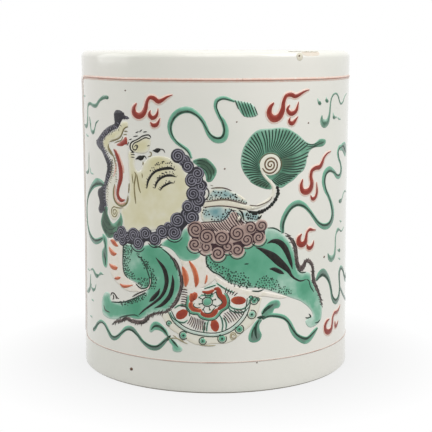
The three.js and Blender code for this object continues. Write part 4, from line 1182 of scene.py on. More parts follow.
CHEST_STROKES = [
    [(-50, 60.8, 1.4), (-48.5, 60.4, 2.4), (-46.8, 59.5, 2.2), (-45, 58.9, 1.1)],
    [(-50.9, 58, 1.1), (-50.4, 56.8, 2.1), (-49, 55.6, 2.6), (-47.4, 55.3, 2), (-46, 55.6, 0.9)],
    [(-51, 50.6, 1.4), (-49.8, 49.7, 2.1), (-46.4, 49.4, 2.1), (-45.4, 49.8, 1)],
    [(-47.6, 44.7, 0.9), (-46, 45, 1.6), (-44.4, 45.5, 1.2), (-43.6, 45.7, 0.6)],
    [(-44, 43, 0.9), (-43, 42.4, 1.6), (-41.5, 42.2, 1.6), (-36.6, 43.4, 0.6)],
    [(-13.6, 53.2, 1.3), (-12.6, 50.6, 2.5), (-12.1, 47.6, 2.7), (-12.3, 44.8, 1.7)],
    [(-10.8, 55.6, 1.1), (-9.1, 52.8, 2), (-8, 49.6, 2.2), (-7.7, 46.6, 2.1), (-8.1, 44.8, 1.2)],
    [(-3.5, 50, 0.8), (-3.7, 48, 1.1), (-4.3, 46.2, 0.9)],
]


# Rows of short hairs inside the foreleg: route, length, spacing, width, lean and wander
LEG_HAIRS = [
    ([(-41.4, 60), (-41.8, 57), (-42, 53), (-41.8, 49), (-41, 47)], 1.7, 1.1, 0.55, 90, 4),
    ([(-40, 36.2), (-36, 37.8), (-33, 39.4), (-30, 41)], 1.4, 1, 0.45, -90, 12),
]
LEG_LIGHT = [
    (-28, 47.6, 0.3), (-27.8, 45.8, 0.7), (-28.8, 43.2, 0.8), (-31, 41.9, 0.7), (-34, 40.4, 0.6),
]
# Rows of hairs along the strokes of FUR: which stroke, and how far they lean
FUR_HAIRS = ((0, 40), (0, -150), (1, -30), (2, 35), (2, -140))


class LionBody(bpy.types.Operator):
    """Paint the lion's body, legs, fur, chest and belly"""
    bl_idname = "brushpot.lion_body"
    bl_label = "Lion's body"

    def execute(self, context):
        body, ink, spots, fur, hairs, white, light, orange = paints(
            context, 3, "enamel", "line", "line", "curl", "line", "wash", "curl", "line")
        for outline in (FOREQUARTER, NECK, HINDQUARTER):
            body.fill(outline, pools=GREEN_POOLS)
        ink.strokes(STRIPES)
        spots.strokes(BODY_LINES, 0.6)
        for outlines, spacing in ((FORE_SPOTS, 1.02), (HIND_SPOTS, 1.16)):
            for outline in outlines:
                spots.stipple(outline, spacing, 0.4)
        for row in LEG_HAIRS:
            spots.ticks(*row)
        light.stroke(LEG_LIGHT)
        fur.strokes(FUR)
        hairs.strokes(FUR_LINES, 0.6)
        for which, lean in FUR_HAIRS:
            hairs.ticks(FUR[which], 1.7, 0.85, 0.4, lean, wander=20)
        for outline in (CHEST, BELLY, UNDERSIDE):
            white.fill(outline)
        orange.strokes(CHEST_STROKES)
        body.build("lion_body_green", "green_enamel", "copper green enamel", "green_thin", "green",
                   "green_deep", pool_mm=7,
                   nodes=["lion_neck", "lion_foreleg", "lion_hindquarter"])
        ink.build("lion_stripes", "aubergine_enamel", "manganese black stripe", "ink", "ink_thin")
        spots.build("lion_body_lines", "green_enamel", "dark green spot", "leaf_line",
                    "dark_green_deep")
        fur.build("lion_fur", "brown_enamel", "brown fur wash", "fur", "fur_thin")
        hairs.build("lion_fur_lines", "brown_enamel", "brown fur line", "ink_thin", "fur")
        chest = pigment("chest white enamel", "blush", "cream")
        white.build("lion_chest_white", "yellow_enamel", chest)
        light.build("lion_leg_light", "yellow_enamel", chest)
        orange.build("lion_chest_stripes", "iron_red_enamel", "thin iron red wash", "orange_thin",
                     "orange", "red")
        return {"FINISHED"}


# The lower row of rump curls, and the upper row that overlaps it
LOW_RUMP_CURLS = [
    (-8.4, 62.5, 2.4), (-3.7, 61.5, 2.4), (1, 58.9, 2.5), (5, 61.7, 2.3), (8.9, 60.2, 2.5),
    (12.8, 64.3, 2.5), (17.8, 65.1, 2.6),
]
TOP_RUMP_CURLS = [
    (-8, 68.6, 3.3), (-3.5, 65.8, 3.3), (2.6, 65.2, 3.2), (8.8, 67, 3.2), (14.3, 69.1, 2.5),
    (19, 69.7, 2.4),
]
RUMP_COMB = [
    (-5.4, 71.2), (2, 71.8), (4.6, 73.4), (6.4, 76), (8.6, 75.8), (9.6, 72.6), (12.4, 70.4),
    (14, 66), (8, 63), (2, 62.6), (-3, 63), (-7, 66),
]
RUMP_CREST = [(-5.8, 71.5), (-1, 71.9), (3, 72.5), (5.2, 75), (6.6, 76.4), (8.4, 76.2)]
# Each set of the rump's combed hairs: where they start, where they end, and their count
RUMP_HAIRS = [
    ([(-2.4, 68.4), (1.6, 67.6)], [(-5.6, 71), (-1.8, 71.5)], 5),
    ([(2.4, 68.2), (6.6, 68)], [(-0.8, 71.6), (3, 72.6)], 5),
    ([(7.4, 68.6), (10.8, 70.4)], [(3.8, 73.2), (7.4, 76)], 5),
    ([(11.2, 70.8), (11.8, 71)], [(8.4, 75.8), (9.4, 73.6)], 2),
]
RUMP_GROUND = [
    (-10, 62), (-8.4, 60.2), (-5.8, 60.6), (-4, 59.2), (-1.6, 59.6), (-0.6, 57), (1.6, 56.6),
    (3.4, 58.6), (6, 59), (7.6, 58), (9.8, 58), (11.4, 60.6), (13, 62), (16, 62.6), (18.6, 62.6),
    (20.4, 64.8), (20.8, 68.4), (19.6, 71.6), (16.6, 70.2), (14, 71), (11.6, 69), (4, 68),
    (-3, 68.6), (-8, 68.6),
]
UPPER_SADDLE = [
    (-3.8, 82.4), (-1.5, 84.8), (3, 85.2), (11, 81.8), (13, 79.5), (12.2, 78.6), (8, 80.2),
    (4, 81), (-3.4, 80.4),
]
LOWER_SADDLE = [
    (-5.4, 77.2), (-2, 78), (3, 78.2), (12, 76.4), (18.6, 74.8), (19, 73), (13.5, 71), (10.6, 73),
    (3, 71.5), (-2, 71), (-5.5, 72.5),
]
SADDLE_BAND = [
    (-4.6, 79.8), (0, 80.4), (4, 80.6), (8, 79.8), (12, 78.4), (16, 77.8), (16, 76.4), (12, 76.8),
    (3, 78.2), (-2, 78), (-4.8, 77.6),
]
SADDLE_LINES = [
    [(-1.8, 85.4), (1, 85.7), (4, 85.4), (6.5, 84.4)], [(-2, 86.7), (-1, 86.5)],
    [(-4, 80), (4, 80.8), (12.6, 78.9)], [(-5, 77.7), (2, 78.3), (8, 77.6), (13, 76.4)],
    [(14, 78.4), (17, 78), (22.5, 80), (23.6, 81.5)],
]
SADDLE_INK = [
    [(9.4, 76.6, 0.6), (10.6, 75.6, 0.9), (11.2, 73.8, 0.8), (11.6, 72, 0.5)],
    [(8.6, 77.2, 0.5), (10.4, 77, 0.8), (12.4, 76.6, 0.5)],
    [(8, 74.6, 0.3), (8.8, 75.2, 0.4), (10.1, 74.4, 0.4), (10.5, 72.6, 0.4), (9.8, 71.5, 0.3),
     (8.8, 71.8, 0.4), (8.3, 73.4, 0.3)],
    [(12.8, 76.2, 0.6), (14.2, 75.6, 1.1), (15.8, 75.3, 1.1), (17.6, 75.4, 0.7)],
    [(12, 71.8, 0.5), (13.6, 71.2, 0.7), (15.4, 71.6, 0.5)],
    [(16.4, 72.4, 0.5), (18.2, 73, 0.8), (19, 74.2, 0.6)],
]
UPPER_POOLS = [(6, 82, 4, 0.1)]
LOWER_POOLS = [(0, 76.6, 1.9, 0.6), (14.5, 73.6, 3, 0.25), (-3, 73, 2, -0.2)]
UPPER_EDGE = [(-3.4, 80.9), (0, 81.1), (4, 81.4), (8, 80.7), (12.5, 79.4)]
# Black dots on the saddle's two plates: the outline that they fill, their spacing and radius
UPPER_DOTS = (
    [(-3.6, 81.2), (-1.6, 84.2), (4, 84.4), (9, 82.4), (12, 79.6), (8, 80.8), (4, 81.6),
     (-1, 81.2)],
    1.25, 0.4,
)
LOWER_DOTS = [
    ([(-5.2, 76), (-4, 77.8), (-2.6, 77), (-2.6, 74), (-5, 74.4)], 1.05, 0.4),
    ([(2.8, 77.6), (7.6, 77), (7, 74.6), (4.4, 73.2), (-2, 72), (-1.6, 74), (1, 74.4),
      (3.2, 75.4)],
     1.15, 0.4),
    ([(12, 75.2), (18, 74.8), (18.4, 73.4), (15, 71.8), (12.4, 72.6)], 0.95, 0.44),
]
TAIL_LADDER = [(26, 85), (26.4, 83), (24.3, 79), (20, 75.9), (15.5, 74.8)]


class LionBack(bpy.types.Operator):
    """Paint the saddle, the rump's curls and the tail's root"""
    bl_idname = "brushpot.lion_back"
    bl_label = "Lion's back"

    def execute(self, context):
        rump, lines, saddle, cream, ink, tan, drop = paints(
            context, 4, "curl", "line", "enamel", "wash", "line", "line", "line")
        base = rump.height
        lines.height = base
        lines.fill(RUMP_GROUND, thin=0.5)
        lines.height = context.scene.paint_sizes.line_height
        rump.height += CURL_STEP / 2
        rump.fill(RUMP_COMB, thin=0.5, pools=[(2, 71, 8, -0.8)])
        for roots, tips, count in RUMP_HAIRS:
            lines.comb(roots, tips, count, 0.52, 0.52, bow=0.04)
        lines.stroke(RUMP_CREST, 0.5)
        for level, curls in enumerate((LOW_RUMP_CURLS, TOP_RUMP_CURLS)):
            for i, (u, z, radius) in enumerate(curls):
                rump.height = base + CURL_STEP * (2 * level + i % 2 + 1)
                lines.height = rump.height + CURL_LINE
                rump.oval(u, z, radius * 1.12, radius * 1.12, thin=0.5)
                lines.spiral(u, z, radius * 1.04, radius * 0.7, 0.6, start=50 * i - 60,
                             way=1 - i % 2 * 2)
                if level == 0:
                    rump.height = base - CURL_STEP
                    rim = radius + 0.9
                    rump.oval(u, z - 0.3, rim, rim, thin=0.9, pools=[(u, z, 4, -0.8)])
                    lines.height = base
                    lines.ring(u, z - 0.3, radius + 1, radius + 1, 0.45, start=190, end=350)
        saddle.fill(UPPER_SADDLE, pools=UPPER_POOLS)
        saddle.fill(LOWER_SADDLE, thin=1.7, pools=LOWER_POOLS)
        cream.fill(SADDLE_BAND)
        ink.stipple(*UPPER_DOTS)
        ink.chain(UPPER_EDGE, 16, 0.32)
        for dots in LOWER_DOTS:
            ink.stipple(*dots)
        ink.strokes(SADDLE_INK)
        ink.chain(TAIL_LADDER, 14, 0.92)
        tan.strokes(SADDLE_LINES, 0.5)
        drop.dot(9.4, 73.1, 0.8, stretch=1.5, tilt=80)
        rump.build("lion_rump_curls_enamel", "brown_enamel", "brown purple enamel", "rump_thin",
                   "rump", "rump_deep", pool_mm=3, nodes=["lion_rump_curls"])
        lines.build("lion_rump_lines", "brown_enamel", "dark brown line", "rump_line", "ink")
        saddle.build("lion_saddle", "turquoise_enamel", "turquoise enamel", "cream", "turquoise",
                     "turquoise_deep", pool_mm=3,
                     nodes=["lion_upper_saddle", "lion_lower_saddle"])
        pale = pigment("cream wash", "cream", "yellow_thin")
        cream.build("lion_back_cream", "yellow_enamel", pale)
        drop.build("lion_saddle_drop", "yellow_enamel", pale)
        ink.build("lion_saddle_ink", "turquoise_enamel", "blue black line", "ink", "leaf_line")
        tan.build("lion_back_lines", "brown_enamel", "brown line", "fur", "tan")
        return {"FINISHED"}


TAIL_MIDDLE = (22.7, 94.5)
TAIL_FAN = [
    (21, 85), (15, 87.3), (10.4, 94), (11.1, 101.4), (15.6, 107.7), (18, 108.9), (22, 109.1),
    (29.4, 109.2), (36.4, 105.8), (39.4, 103.6), (44, 101.9), (48.6, 103.7), (52.6, 103.2),
    (53, 102), (51, 100.6), (44.4, 100.2), (42.2, 98.8), (41, 96.6), (40.4, 93.8), (39, 91.3),
    (36.6, 89.9), (34, 87.8), (31, 86.3), (28, 84.8), (26, 85.2), (22.8, 88.6), (23.4, 86.4),
    (23.4, 84.6), (22.6, 84.3),
]
TAIL_POOLS = [
    (30, 95, 3.6, 0.9), (20, 86.6, 3, 0.5), (17.4, 92.6, 2.6, 0.3), (13, 96, 3, -0.15),
    (24, 106.5, 5, -0.2), (49, 102.2, 4, 0.5), (37, 103, 4, -0.15), (27, 90.5, 2.5, 0.3),
]
# Each set of ribs: where they spring from, where they end, and their count
TAIL_RIBS = [
    ([(22.4, 87), (20.8, 88.4), (19.6, 90), (18.8, 91.5), (18, 92.8), (17.5, 95.5), (18.6, 98),
      (19.8, 98.9)],
     [(20.6, 85.2), (17.2, 86.2), (14.6, 88), (12.4, 90.4), (11.2, 92.5), (10.5, 96), (10.8, 99.5),
      (12.2, 103), (14.4, 106), (16.5, 107.8)],
     22),
    ([(20.8, 99.3), (22.3, 99.6), (24, 99.4), (25.4, 99), (26.6, 98), (27.4, 96.8)],
     [(18.6, 108.6), (23, 108.8), (27, 109), (31, 108.2), (35, 106.2), (38.5, 103.9), (41.5, 102)],
     16),
    ([(28.6, 96.2), (28.6, 94), (28, 92)],
     [(42, 98.9), (40.9, 95.5), (39.7, 93), (37.8, 91.1)], 6),
    ([(27, 91), (25.6, 89.8), (24.4, 89), (23.4, 88.4)],
     [(36, 89.8), (32.5, 87.6), (29.5, 86.3), (26.8, 85.8)], 8),
]
TAIL_LOBE = [
    (14, 88.2), (16.5, 86.3), (21.5, 84.5), (23, 84.8), (23.2, 85.8), (18.5, 89.5), (17.5, 90.5),
]
TAIL_SMEAR = [(27.6, 97), (29, 97.8), (33.4, 95.6), (33, 93.6), (30.6, 92.2), (28, 92.6)]
TAIL_STEM = [
    (18.4, 93, 1.1), (19.8, 90.6, 1.3), (24.3, 85, 1.4), (23.6, 81.5, 1.7), (18, 77.9, 1.9),
    (14.4, 77, 1.4),
]
TAIL_TIP_LINES = [
    [(40.6, 101), (44, 101), (48, 101.7), (51.4, 102.2)],
    [(39, 103), (42, 101.8), (45, 101.8), (48.4, 102.7)], [(40, 99.6), (43.4, 100.4), (47, 101)],
]


class LionTail(bpy.types.Operator):
    """Paint the tail's fan and its spiral"""
    bl_idname = "brushpot.lion_tail"
    bl_label = "Lion's tail"

    def execute(self, context):
        fan, ribs, cream, brown, dark = paints(
            context, 5, "enamel", "line", "curl", "line", "curl")
        fan.fill(TAIL_FAN, thin=1.0, pools=TAIL_POOLS)
        for roots, tips, count in TAIL_RIBS:
            ribs.comb(roots, tips, count, 0.34, 0.74, bow=-0.05)
        ribs.strokes(TAIL_TIP_LINES, 0.45)
        dark.fill(TAIL_LOBE, thin=0.9)
        dark.fill(TAIL_SMEAR, thin=1.2, pools=[(30, 95, 3, 0.7)])
        cream.oval(*TAIL_MIDDLE, 4.9, 4.6, thin=0.6, steps=20)
        cream.stroke(TAIL_STEM)
        brown.spiral(*TAIL_MIDDLE, 3.7, 2.6, 0.74, start=200, way=-1, core=0.06)
        brown.ring(*TAIL_MIDDLE, 5, 4.7, 0.34, start=-60, end=170)
        fan.build("lion_tail_fan_enamel", "green_enamel", "tail green enamel", "fan_thin", "fan",
                  "fan_deep", nodes=["lion_tail_fan"])
        dark.build("lion_tail_dark_lobe", "green_enamel", "dark green lobe", "fan", "dark_green",
                   "dark_green")
        ribs.build("lion_tail_ribs", "green_enamel", "dark green rib", "leaf_line",
                   "dark_green_deep")
        cream.build("lion_tail_spiral_wash", "yellow_enamel", "cream enamel", "cream",
                    "yellow_thin", "cream", nodes=["lion_tail_spiral", "lion_tail_stem"])
        brown.build("lion_tail_spiral_line", "brown_enamel", "spiral brown line", "speck", "tan")
        return {"FINISHED"}


BALL_MIDDLE = (-2.8, 40.7)
# The ball is broader than high by this factor
BALL_BROAD = 1.09
BALL_RIM = 15.5
SASH_WIDTH = 4.6
# The lion hides the rest of the ball: where the sash starts and ends, in degrees
BALL_VISIBLE = (-156, -2)
BALL_GROUND = [
    (-18.6, 35), (-16, 29.4), (-10, 26), (-3, 25), (4, 26), (10, 30), (13.6, 36), (14, 41),
    (8, 42.6), (2, 46), (-5, 44.6), (-12, 43.6), (-15, 39),
]
SASH_LINES = [
    [(-20, 22.6), (-16.6, 23), (-13, 22)], [(-17.6, 24.2), (-14.6, 22.2), (-11.4, 20.9)],
    [(-6.5, 20.7), (-3, 20.4), (0, 20.6)],
]
RIM_BAND = [
    (-19, 34), (-17, 30.5), (-14, 28), (-10, 26.2), (-2, 25), (2, 25.4), (6, 27), (9.5, 29.8),
    (12, 33), (13.3, 36.5), (13.8, 40),
]
FLOWER_RED = [
    [(-9.8, 42.2, 1.7), (-9.6, 40.4, 2.8), (-9.9, 38.6, 1.9)],
    [(-8, 42.6, 2.3), (-8.6, 41, 2.8), (-8.8, 39.4, 1.9)],
    [(-9.8, 38.6, 1.9), (-10.2, 36.8, 2.8), (-8.8, 35.4, 2.5), (-7, 35, 2.4), (-5.7, 35.4, 1.5)],
]
FLOWER_DARK_RED = [
    [(-5.8, 35, 1), (-5.2, 33.4, 2.5), (-3.4, 32.8, 2.8), (-1.4, 33.2, 2.8), (-0.2, 34.6, 2.7),
     (0.9, 35.8, 1.8)],
    [(0.9, 35.8, 1.7), (2.6, 36.6, 2.7), (3.9, 38.2, 2.9), (3.4, 40, 3.1), (2, 41.4, 2.5),
     (0.8, 44.2, 2.3), (-0.6, 44, 1.4)],
    [(-0.6, 43.8, 1.4), (-2.2, 42.8, 1.8), (-3.6, 42.6, 1.7), (-5.4, 43, 1)],
]
FLOWER_OUTLINE = [
    (-11, 41.4), (-11.3, 39), (-11.6, 36.4), (-9.8, 34.2), (-7, 33.8), (-5.8, 32.4), (-0.8, 31.9),
    (2.6, 35.3), (4.6, 36.6), (5.2, 38.8), (4.6, 41), (3.6, 42.4),
]
FLOWER_HEART = (-3.3, 38.8)
PETAL_LEAF = [
    (-6.6, 40.6), (-4.6, 40.9), (-1.6, 40.2), (-0.4, 41.4), (-1.6, 42.4), (-4, 42), (-6, 42),
]
# Each red oval: its middle, half its length and height, and its tilt
CARTOUCHES = [(9.4, 39.2, 3.4, 2, -4), (-13.9, 33.2, 3.1, 2.1, 35), (-0.3, 28.9, 2, 2.9, 12)]
SCALLOPS = [
    [(5.4, 38.6), (6, 36.8), (8.6, 35.6), (11.4, 35.7), (13.6, 37.6), (14, 39.4)],
    [(5, 37), (6.2, 35.2), (9, 34.2), (12, 34.6), (13.8, 36.4)],
    [(-19, 34), (-17.8, 31.6), (-15.6, 30.2), (-13, 29.8), (-11.4, 31)],
    [(-17, 35.6), (-15, 36.9), (-12.4, 36.8), (-10.8, 35), (-10.6, 32.6)],
    [(-3.6, 26.4), (-3.4, 29), (-2.8, 31.2)], [(2.6, 26.6), (3, 29), (2.4, 32), (1.6, 33.4)],
    [(-4.8, 26.2), (-4.6, 28.6), (-3.8, 30.6)], [(4.2, 27.2), (4.4, 29.4), (3.6, 32.2)],
    [(0.4, 46.6), (3, 44.8), (5.4, 43.4), (7.4, 42.6)], [(-4.6, 44.2), (-2.6, 44.9), (0.2, 45.8)],
]
# Each set of comb lines on the ball: where they start, where they end, and their count
BALL_COMBS = [
    ([(-9.8, 32.6), (-4.9, 31)], [(-11.6, 29.2), (-7.4, 26.8), (-4.3, 26.8)], 9),
    ([(3, 32.2), (3.8, 34.2), (6.4, 35.2), (9.6, 35.4)],
     [(4.6, 29.6), (7.4, 30.2), (10, 32), (11.8, 33.8)], 9),
    ([(-14.4, 36.6), (-13.8, 43.6)], [(-11.8, 36.2), (-11.4, 43.4)], 8),
    ([(4, 42.6), (7.6, 41.2)], [(4.6, 44.8), (9, 42.4)], 5),
]
# Middle and radius of each ringed dot of the sash
BALL_DOTS = [
    (-19.4, 29, 1.1), (-13.2, 24.4, 1.7), (-5.2, 22.4, 1.5), (2.7, 23.4, 1.8), (9.8, 27.2, 1.8),
    (15, 33.1, 1.8), (16, 38.8, 1.6), (14.6, 40, 0.9), (17.4, 39.2, 0.8),
]


class BrocadeBall(bpy.types.Operator):
    """Paint the brocade ball with its flower, ovals and sash"""
    bl_idname = "brushpot.brocade_ball"
    bl_label = "Brocade ball"

    def execute(self, context):
        sash, white, red, rim, green, dots, comb, tan, leaf = paints(
            context, 6, "wash", "wash", "enamel", "enamel", "line", "curl", "line", "line",
            "enamel")
        start, end = BALL_VISIBLE
        inside_edge, outside_edge = BALL_RIM + 0.4, BALL_RIM + SASH_WIDTH
        inner = ring_route(*BALL_MIDDLE, inside_edge * BALL_BROAD, inside_edge, start, end,
                           steps=20)
        outer = ring_route(*BALL_MIDDLE, outside_edge * BALL_BROAD, outside_edge, end, start,
                           steps=20)
        ripple = [(u, z + 0.5 * math.sin(i * 1.3)) for i, (u, z) in enumerate(outer)]
        sash.fill(inner + ripple, thin=1.8)
        white.fill(BALL_GROUND)
        rim.stroke(RIM_BAND, 1.5, taper=0.8, tone=-0.3)
        for side in (-0.75, 0.75):
            green.stroke(beside(RIM_BAND, side), 0.42, taper=0.8)
        red.strokes(FLOWER_RED, taper=0.6, tone=-0.25)
        red.strokes(FLOWER_DARK_RED, taper=0.6)
        for petal in (FLOWER_RED[2], *FLOWER_DARK_RED):
            green.stroke(beside(petal, 1.2), 0.4)
        leaf.stroke(FLOWER_OUTLINE, 1.2)
        green.stroke(beside(FLOWER_OUTLINE, -0.6), 0.4)
        leaf.fill(PETAL_LEAF, thin=0.6)
        u, z = FLOWER_HEART
        dots.dot(u, z, 1.7, stretch=1.15, tilt=20, sides=12)
        green.ring(u, z, 2.1, 1.9, 0.5)
        for i in range(8):
            turn = math.pi * i / 4 + 0.3
            way = np.array([math.cos(turn), math.sin(turn)])
            near, far = FLOWER_HEART + 2.1 * way, FLOWER_HEART + (3.8 if i % 2 else 3.4) * way
            green.stroke([tuple(near), tuple(far)], 0.45)
            green.dot(*far, 0.42)
        for u, z, across, up, tilt in CARTOUCHES:
            red.oval(u, z, across, up, 0.8, tilt, steps=14, pools=[(u, z, 3, 0.2)])
        leaf.strokes(SCALLOPS, 1.0, taper=0.6, tone=-0.25)
        green.strokes(SCALLOPS, 0.42)
        for i, (u, z, radius) in enumerate(BALL_DOTS):
            dots.dot(u, z, radius * 0.86, sides=12)
            green.ring(u, z, radius, radius, 0.42, start=35 * i, end=35 * i + 290)
            green.dot(u, z, radius * 0.34)
        for roots, tips, count in BALL_COMBS:
            comb.comb(roots, tips, count, 0.45, 0.45, bow=0.05)
        tan.spiral(7.3, 24.6, 1.3, 1.2, 0.5)
        tan.ring(7.2, 24.4, 1.2, 1.5, 0.4)
        tan.strokes(SASH_LINES, 0.45)
        sash.build("ball_sash_wash", "yellow_enamel", "sash yellow enamel", "cream", "yellow_thin",
                   "yellow", nodes=["ball_sash"])
        white.build("ball_ground", "yellow_enamel", "ball white enamel", "glaze", "cream")
        red.build("ball_flower_and_ovals", "iron_red_enamel", "ball iron red", "orange",
                  "ball_red", "red",
                  nodes=["ball_flower", "ball_cartouche_1", "ball_cartouche_2",
                         "ball_cartouche_3"])
        rim.build("ball_rim_band", "green_enamel", "ball pale green enamel", "glaze", "green_thin",
                  "green", nodes=["ball_rim"])
        green.build("ball_green_lines", "green_enamel", "ball green line", "leaf_line",
                    "dark_green")
        dots.build("ball_green_dots", "green_enamel", "ball green enamel", "green_thin", "green",
                   "green")
        leaf.build("ball_leaf_bands", "green_enamel", "ball leaf green enamel", "green_thin",
                   "green", "dark_green")
        comb.build("ball_combing", "brown_enamel", "ball brown line", "rump_line", "rump_deep")
        tan.build("ball_swirl", "brown_enamel", "sash tan line", "tan_thin", "fur_thin")
        return {"FINISHED"}


RIBBONS = [
    [(-9.6, 97.4, 1.2), (-11, 100.4, 1.5), (-16, 104, 1.5), (-18, 106.8, 1.8), (-18.6, 110, 2.2),
     (-17.4, 113.4, 2.6), (-14.6, 116, 2.8), (-11, 116.8, 2.8), (-7.6, 115.2, 2.1),
     (-5.2, 112.6, 1.7), (-2.2, 106.6, 2), (0.4, 104.9, 2.8), (3, 105.4, 3), (4.1, 108.2, 2.6),
     (3.2, 111.8, 2.1), (1.2, 115, 1.6), (0, 118.2, 1.5), (0.6, 120.6, 1.8), (3, 121.6, 1.6),
     (7.6, 120.2, 1.2)],
    [(-54, 83.8, 2.3), (-57.4, 84.6, 3.1), (-61, 84.3, 3.8), (-65, 82.6, 3.1), (-72.6, 76.8, 1.7),
     (-74.8, 73, 1.1), (-75.5, 69, 1.6), (-74.4, 64.6, 1.8), (-71.6, 61.3, 2.2), (-68, 59.2, 2.6),
     (-63.6, 58.4, 2.7), (-59.6, 59.3, 2.6), (-56.2, 60.9, 2.2)],
    [(-66.6, 18.4, 2.2), (-64, 20, 2), (-61.2, 22.6, 1.7), (-58, 24.1, 1.6), (-54.8, 23.4, 1.6),
     (-49.6, 18.8, 2.2), (-46.6, 19.2, 2), (-43.4, 21.8, 1.6), (-40.4, 24.3, 2.1),
     (-37.4, 24.6, 2.3), (-34.4, 22.6, 1.7), (-31.4, 19.8, 1.7), (-28, 18.1, 2.3),
     (-24.6, 18.3, 2.3), (-20, 22.8, 1.6)],
    [(19.4, 31, 1.8), (22.4, 32.2, 2), (29.4, 30.6, 2), (32, 28.2, 2), (33.6, 25, 2.6),
     (35.8, 21.9, 2.6), (41.6, 19, 3.3), (46.8, 22.2, 2.3), (48.4, 23.2, 1.5)],
    [(28.7, 66, 1.9), (28.4, 69.6, 2.3), (29.8, 73.4, 2.6), (32.6, 76.7, 2.7), (36, 77.9, 2.8),
     (39.6, 76.7, 2.4), (42.8, 74, 1.9), (48.8, 68, 2.2), (52.6, 66.4, 2.8), (56.4, 66.5, 3.1),
     (59.2, 68.6, 3.1), (59.8, 71.8, 2.8), (58.2, 75.6, 2.2), (55.8, 79, 1.9), (53, 82.3, 2.3),
     (51.8, 86, 2.8), (53, 89.2, 3.1), (56.2, 90.4, 2.7), (60, 89.1, 2), (63.4, 86.8, 2.2),
     (66.8, 86.5, 2.4), (68.8, 88.8, 2.2), (67.6, 91.8, 1.5), (65.2, 94.2, 1.5), (64, 97, 1.8),
     (65.6, 99, 1.9), (68.4, 99, 1.8)],
    [(47.4, 43.8, 1.5), (49.4, 45.8, 3.1), (52, 46.6, 3.6), (55, 44.8, 2.8), (57.6, 41.4, 2),
     (59, 38, 1.8), (60, 34.8, 2), (62.2, 32.4, 2.6), (65, 31.7, 2.7), (67.8, 33.4, 2.4),
     (69, 37, 1.9), (68.2, 41, 1.8), (68.2, 44.2, 2), (70.6, 45.6, 2), (74, 44.2, 1.9),
     (77.4, 41, 2), (81, 38.6, 2.8), (86, 38, 3.3), (90, 40, 1.8)],
]
# How far each ribbon fired grey
RIBBON_GREY = (0, 0.25, 0.3, 0.1, 0.1, 0.4)
SECOND_STRAND = [(68.6, 37.6, 1.4), (75.6, 32.2, 1.5), (85, 28.2, 1.6), (90, 27.6, 0.8)]
TASSEL = [
    (7.2, 120.7), (9.4, 120.4), (14.5, 119.2), (15.8, 117.8), (17, 114.6), (11.6, 114.1),
    (8, 119.4),
]
RIBBON_LEAVES = [
    TASSEL,
    [(-56.4, 62.8), (-53, 61.8), (-52.6, 57), (-53, 48.7), (-55.2, 48.7), (-57, 52), (-56.9, 55.2),
     (-55, 57.6), (-56, 60)],
    [(-28.3, 24.5), (-28.1, 27), (-26.8, 28.8), (-24.5, 29.3), (-20.4, 26.3), (-19.4, 24),
     (-20.6, 23.4), (-22, 24.8), (-24, 25.6), (-26, 25.4), (-27.4, 24.3)],
    [(-19.6, 24), (-15.6, 20.6), (-13.6, 19), (-14, 17.6), (-16, 17), (-17.8, 17.6), (-18, 19.5),
     (-19.6, 21.8)],
    [(19, 33.5), (22.5, 37.6), (25, 38.5), (27.2, 38), (27.9, 36.4), (27, 34.8), (25, 34.6),
     (24.3, 33), (20.5, 31.2)],
    [(18.4, 31.2), (16.2, 29.6), (13.5, 24), (13.9, 21.9), (16, 21.1), (18.5, 22), (19.3, 24.3),
     (18.4, 26.5), (18.3, 28.5), (19.4, 30.4)],
    [(66.4, 99.4), (74.8, 100.6), (77.4, 98.2), (77.6, 95.2), (75.6, 94), (69.4, 97.2),
     (66.4, 97.6)],
]
LEAF_POOLS = [
    (17, 23, 4, 0.45), (18.6, 30, 3, 0.6), (24, 36, 4, 0.4), (-54.6, 55, 6, 0.4),
    (-24, 27.6, 4, 0.25), (12, 117, 4, 0.1), (73, 97.6, 5, 0.5),
]
BOW_LINES = [
    [(-27.6, 25.4, 0.5), (-26, 27.2, 0.9), (-23.6, 27.4, 1.1), (-21.2, 25.6, 1.1),
     (-19.8, 23.4, 0.6)],
    [(-18.8, 22.8, 0.5), (-16.8, 20.8, 0.9), (-15.4, 19.2, 0.5)],
    [(-20.4, 21.4, 0.6), (-19.6, 23, 1.4), (-18.6, 24, 0.5)],
    [(19.3, 32.8, 0.8), (20.8, 34.6, 1.5), (22.6, 35.8, 1.5), (24.4, 36.6, 0.7)],
    [(18.2, 30.8, 0.6), (16.8, 28.4, 1), (16.6, 25, 1), (17.2, 22.6, 0.5)],
    [(16.6, 28.6, 0.5), (15.2, 25.6, 0.8), (15, 23.2, 0.5)],
    [(17.2, 31.6, 0.6), (18.8, 31.6, 1.4), (20.8, 32, 0.6)],
    [(-55.2, 55, 0.4), (-54, 51.8, 0.9), (-54, 49.4, 0.5)],
    [(-55, 61.4, 0.5), (-54, 58.4, 0.7), (-54.2, 56, 0.4)],
    [(68, 99.2, 0.4), (71.4, 99, 0.8), (75.6, 96, 0.8)],
]


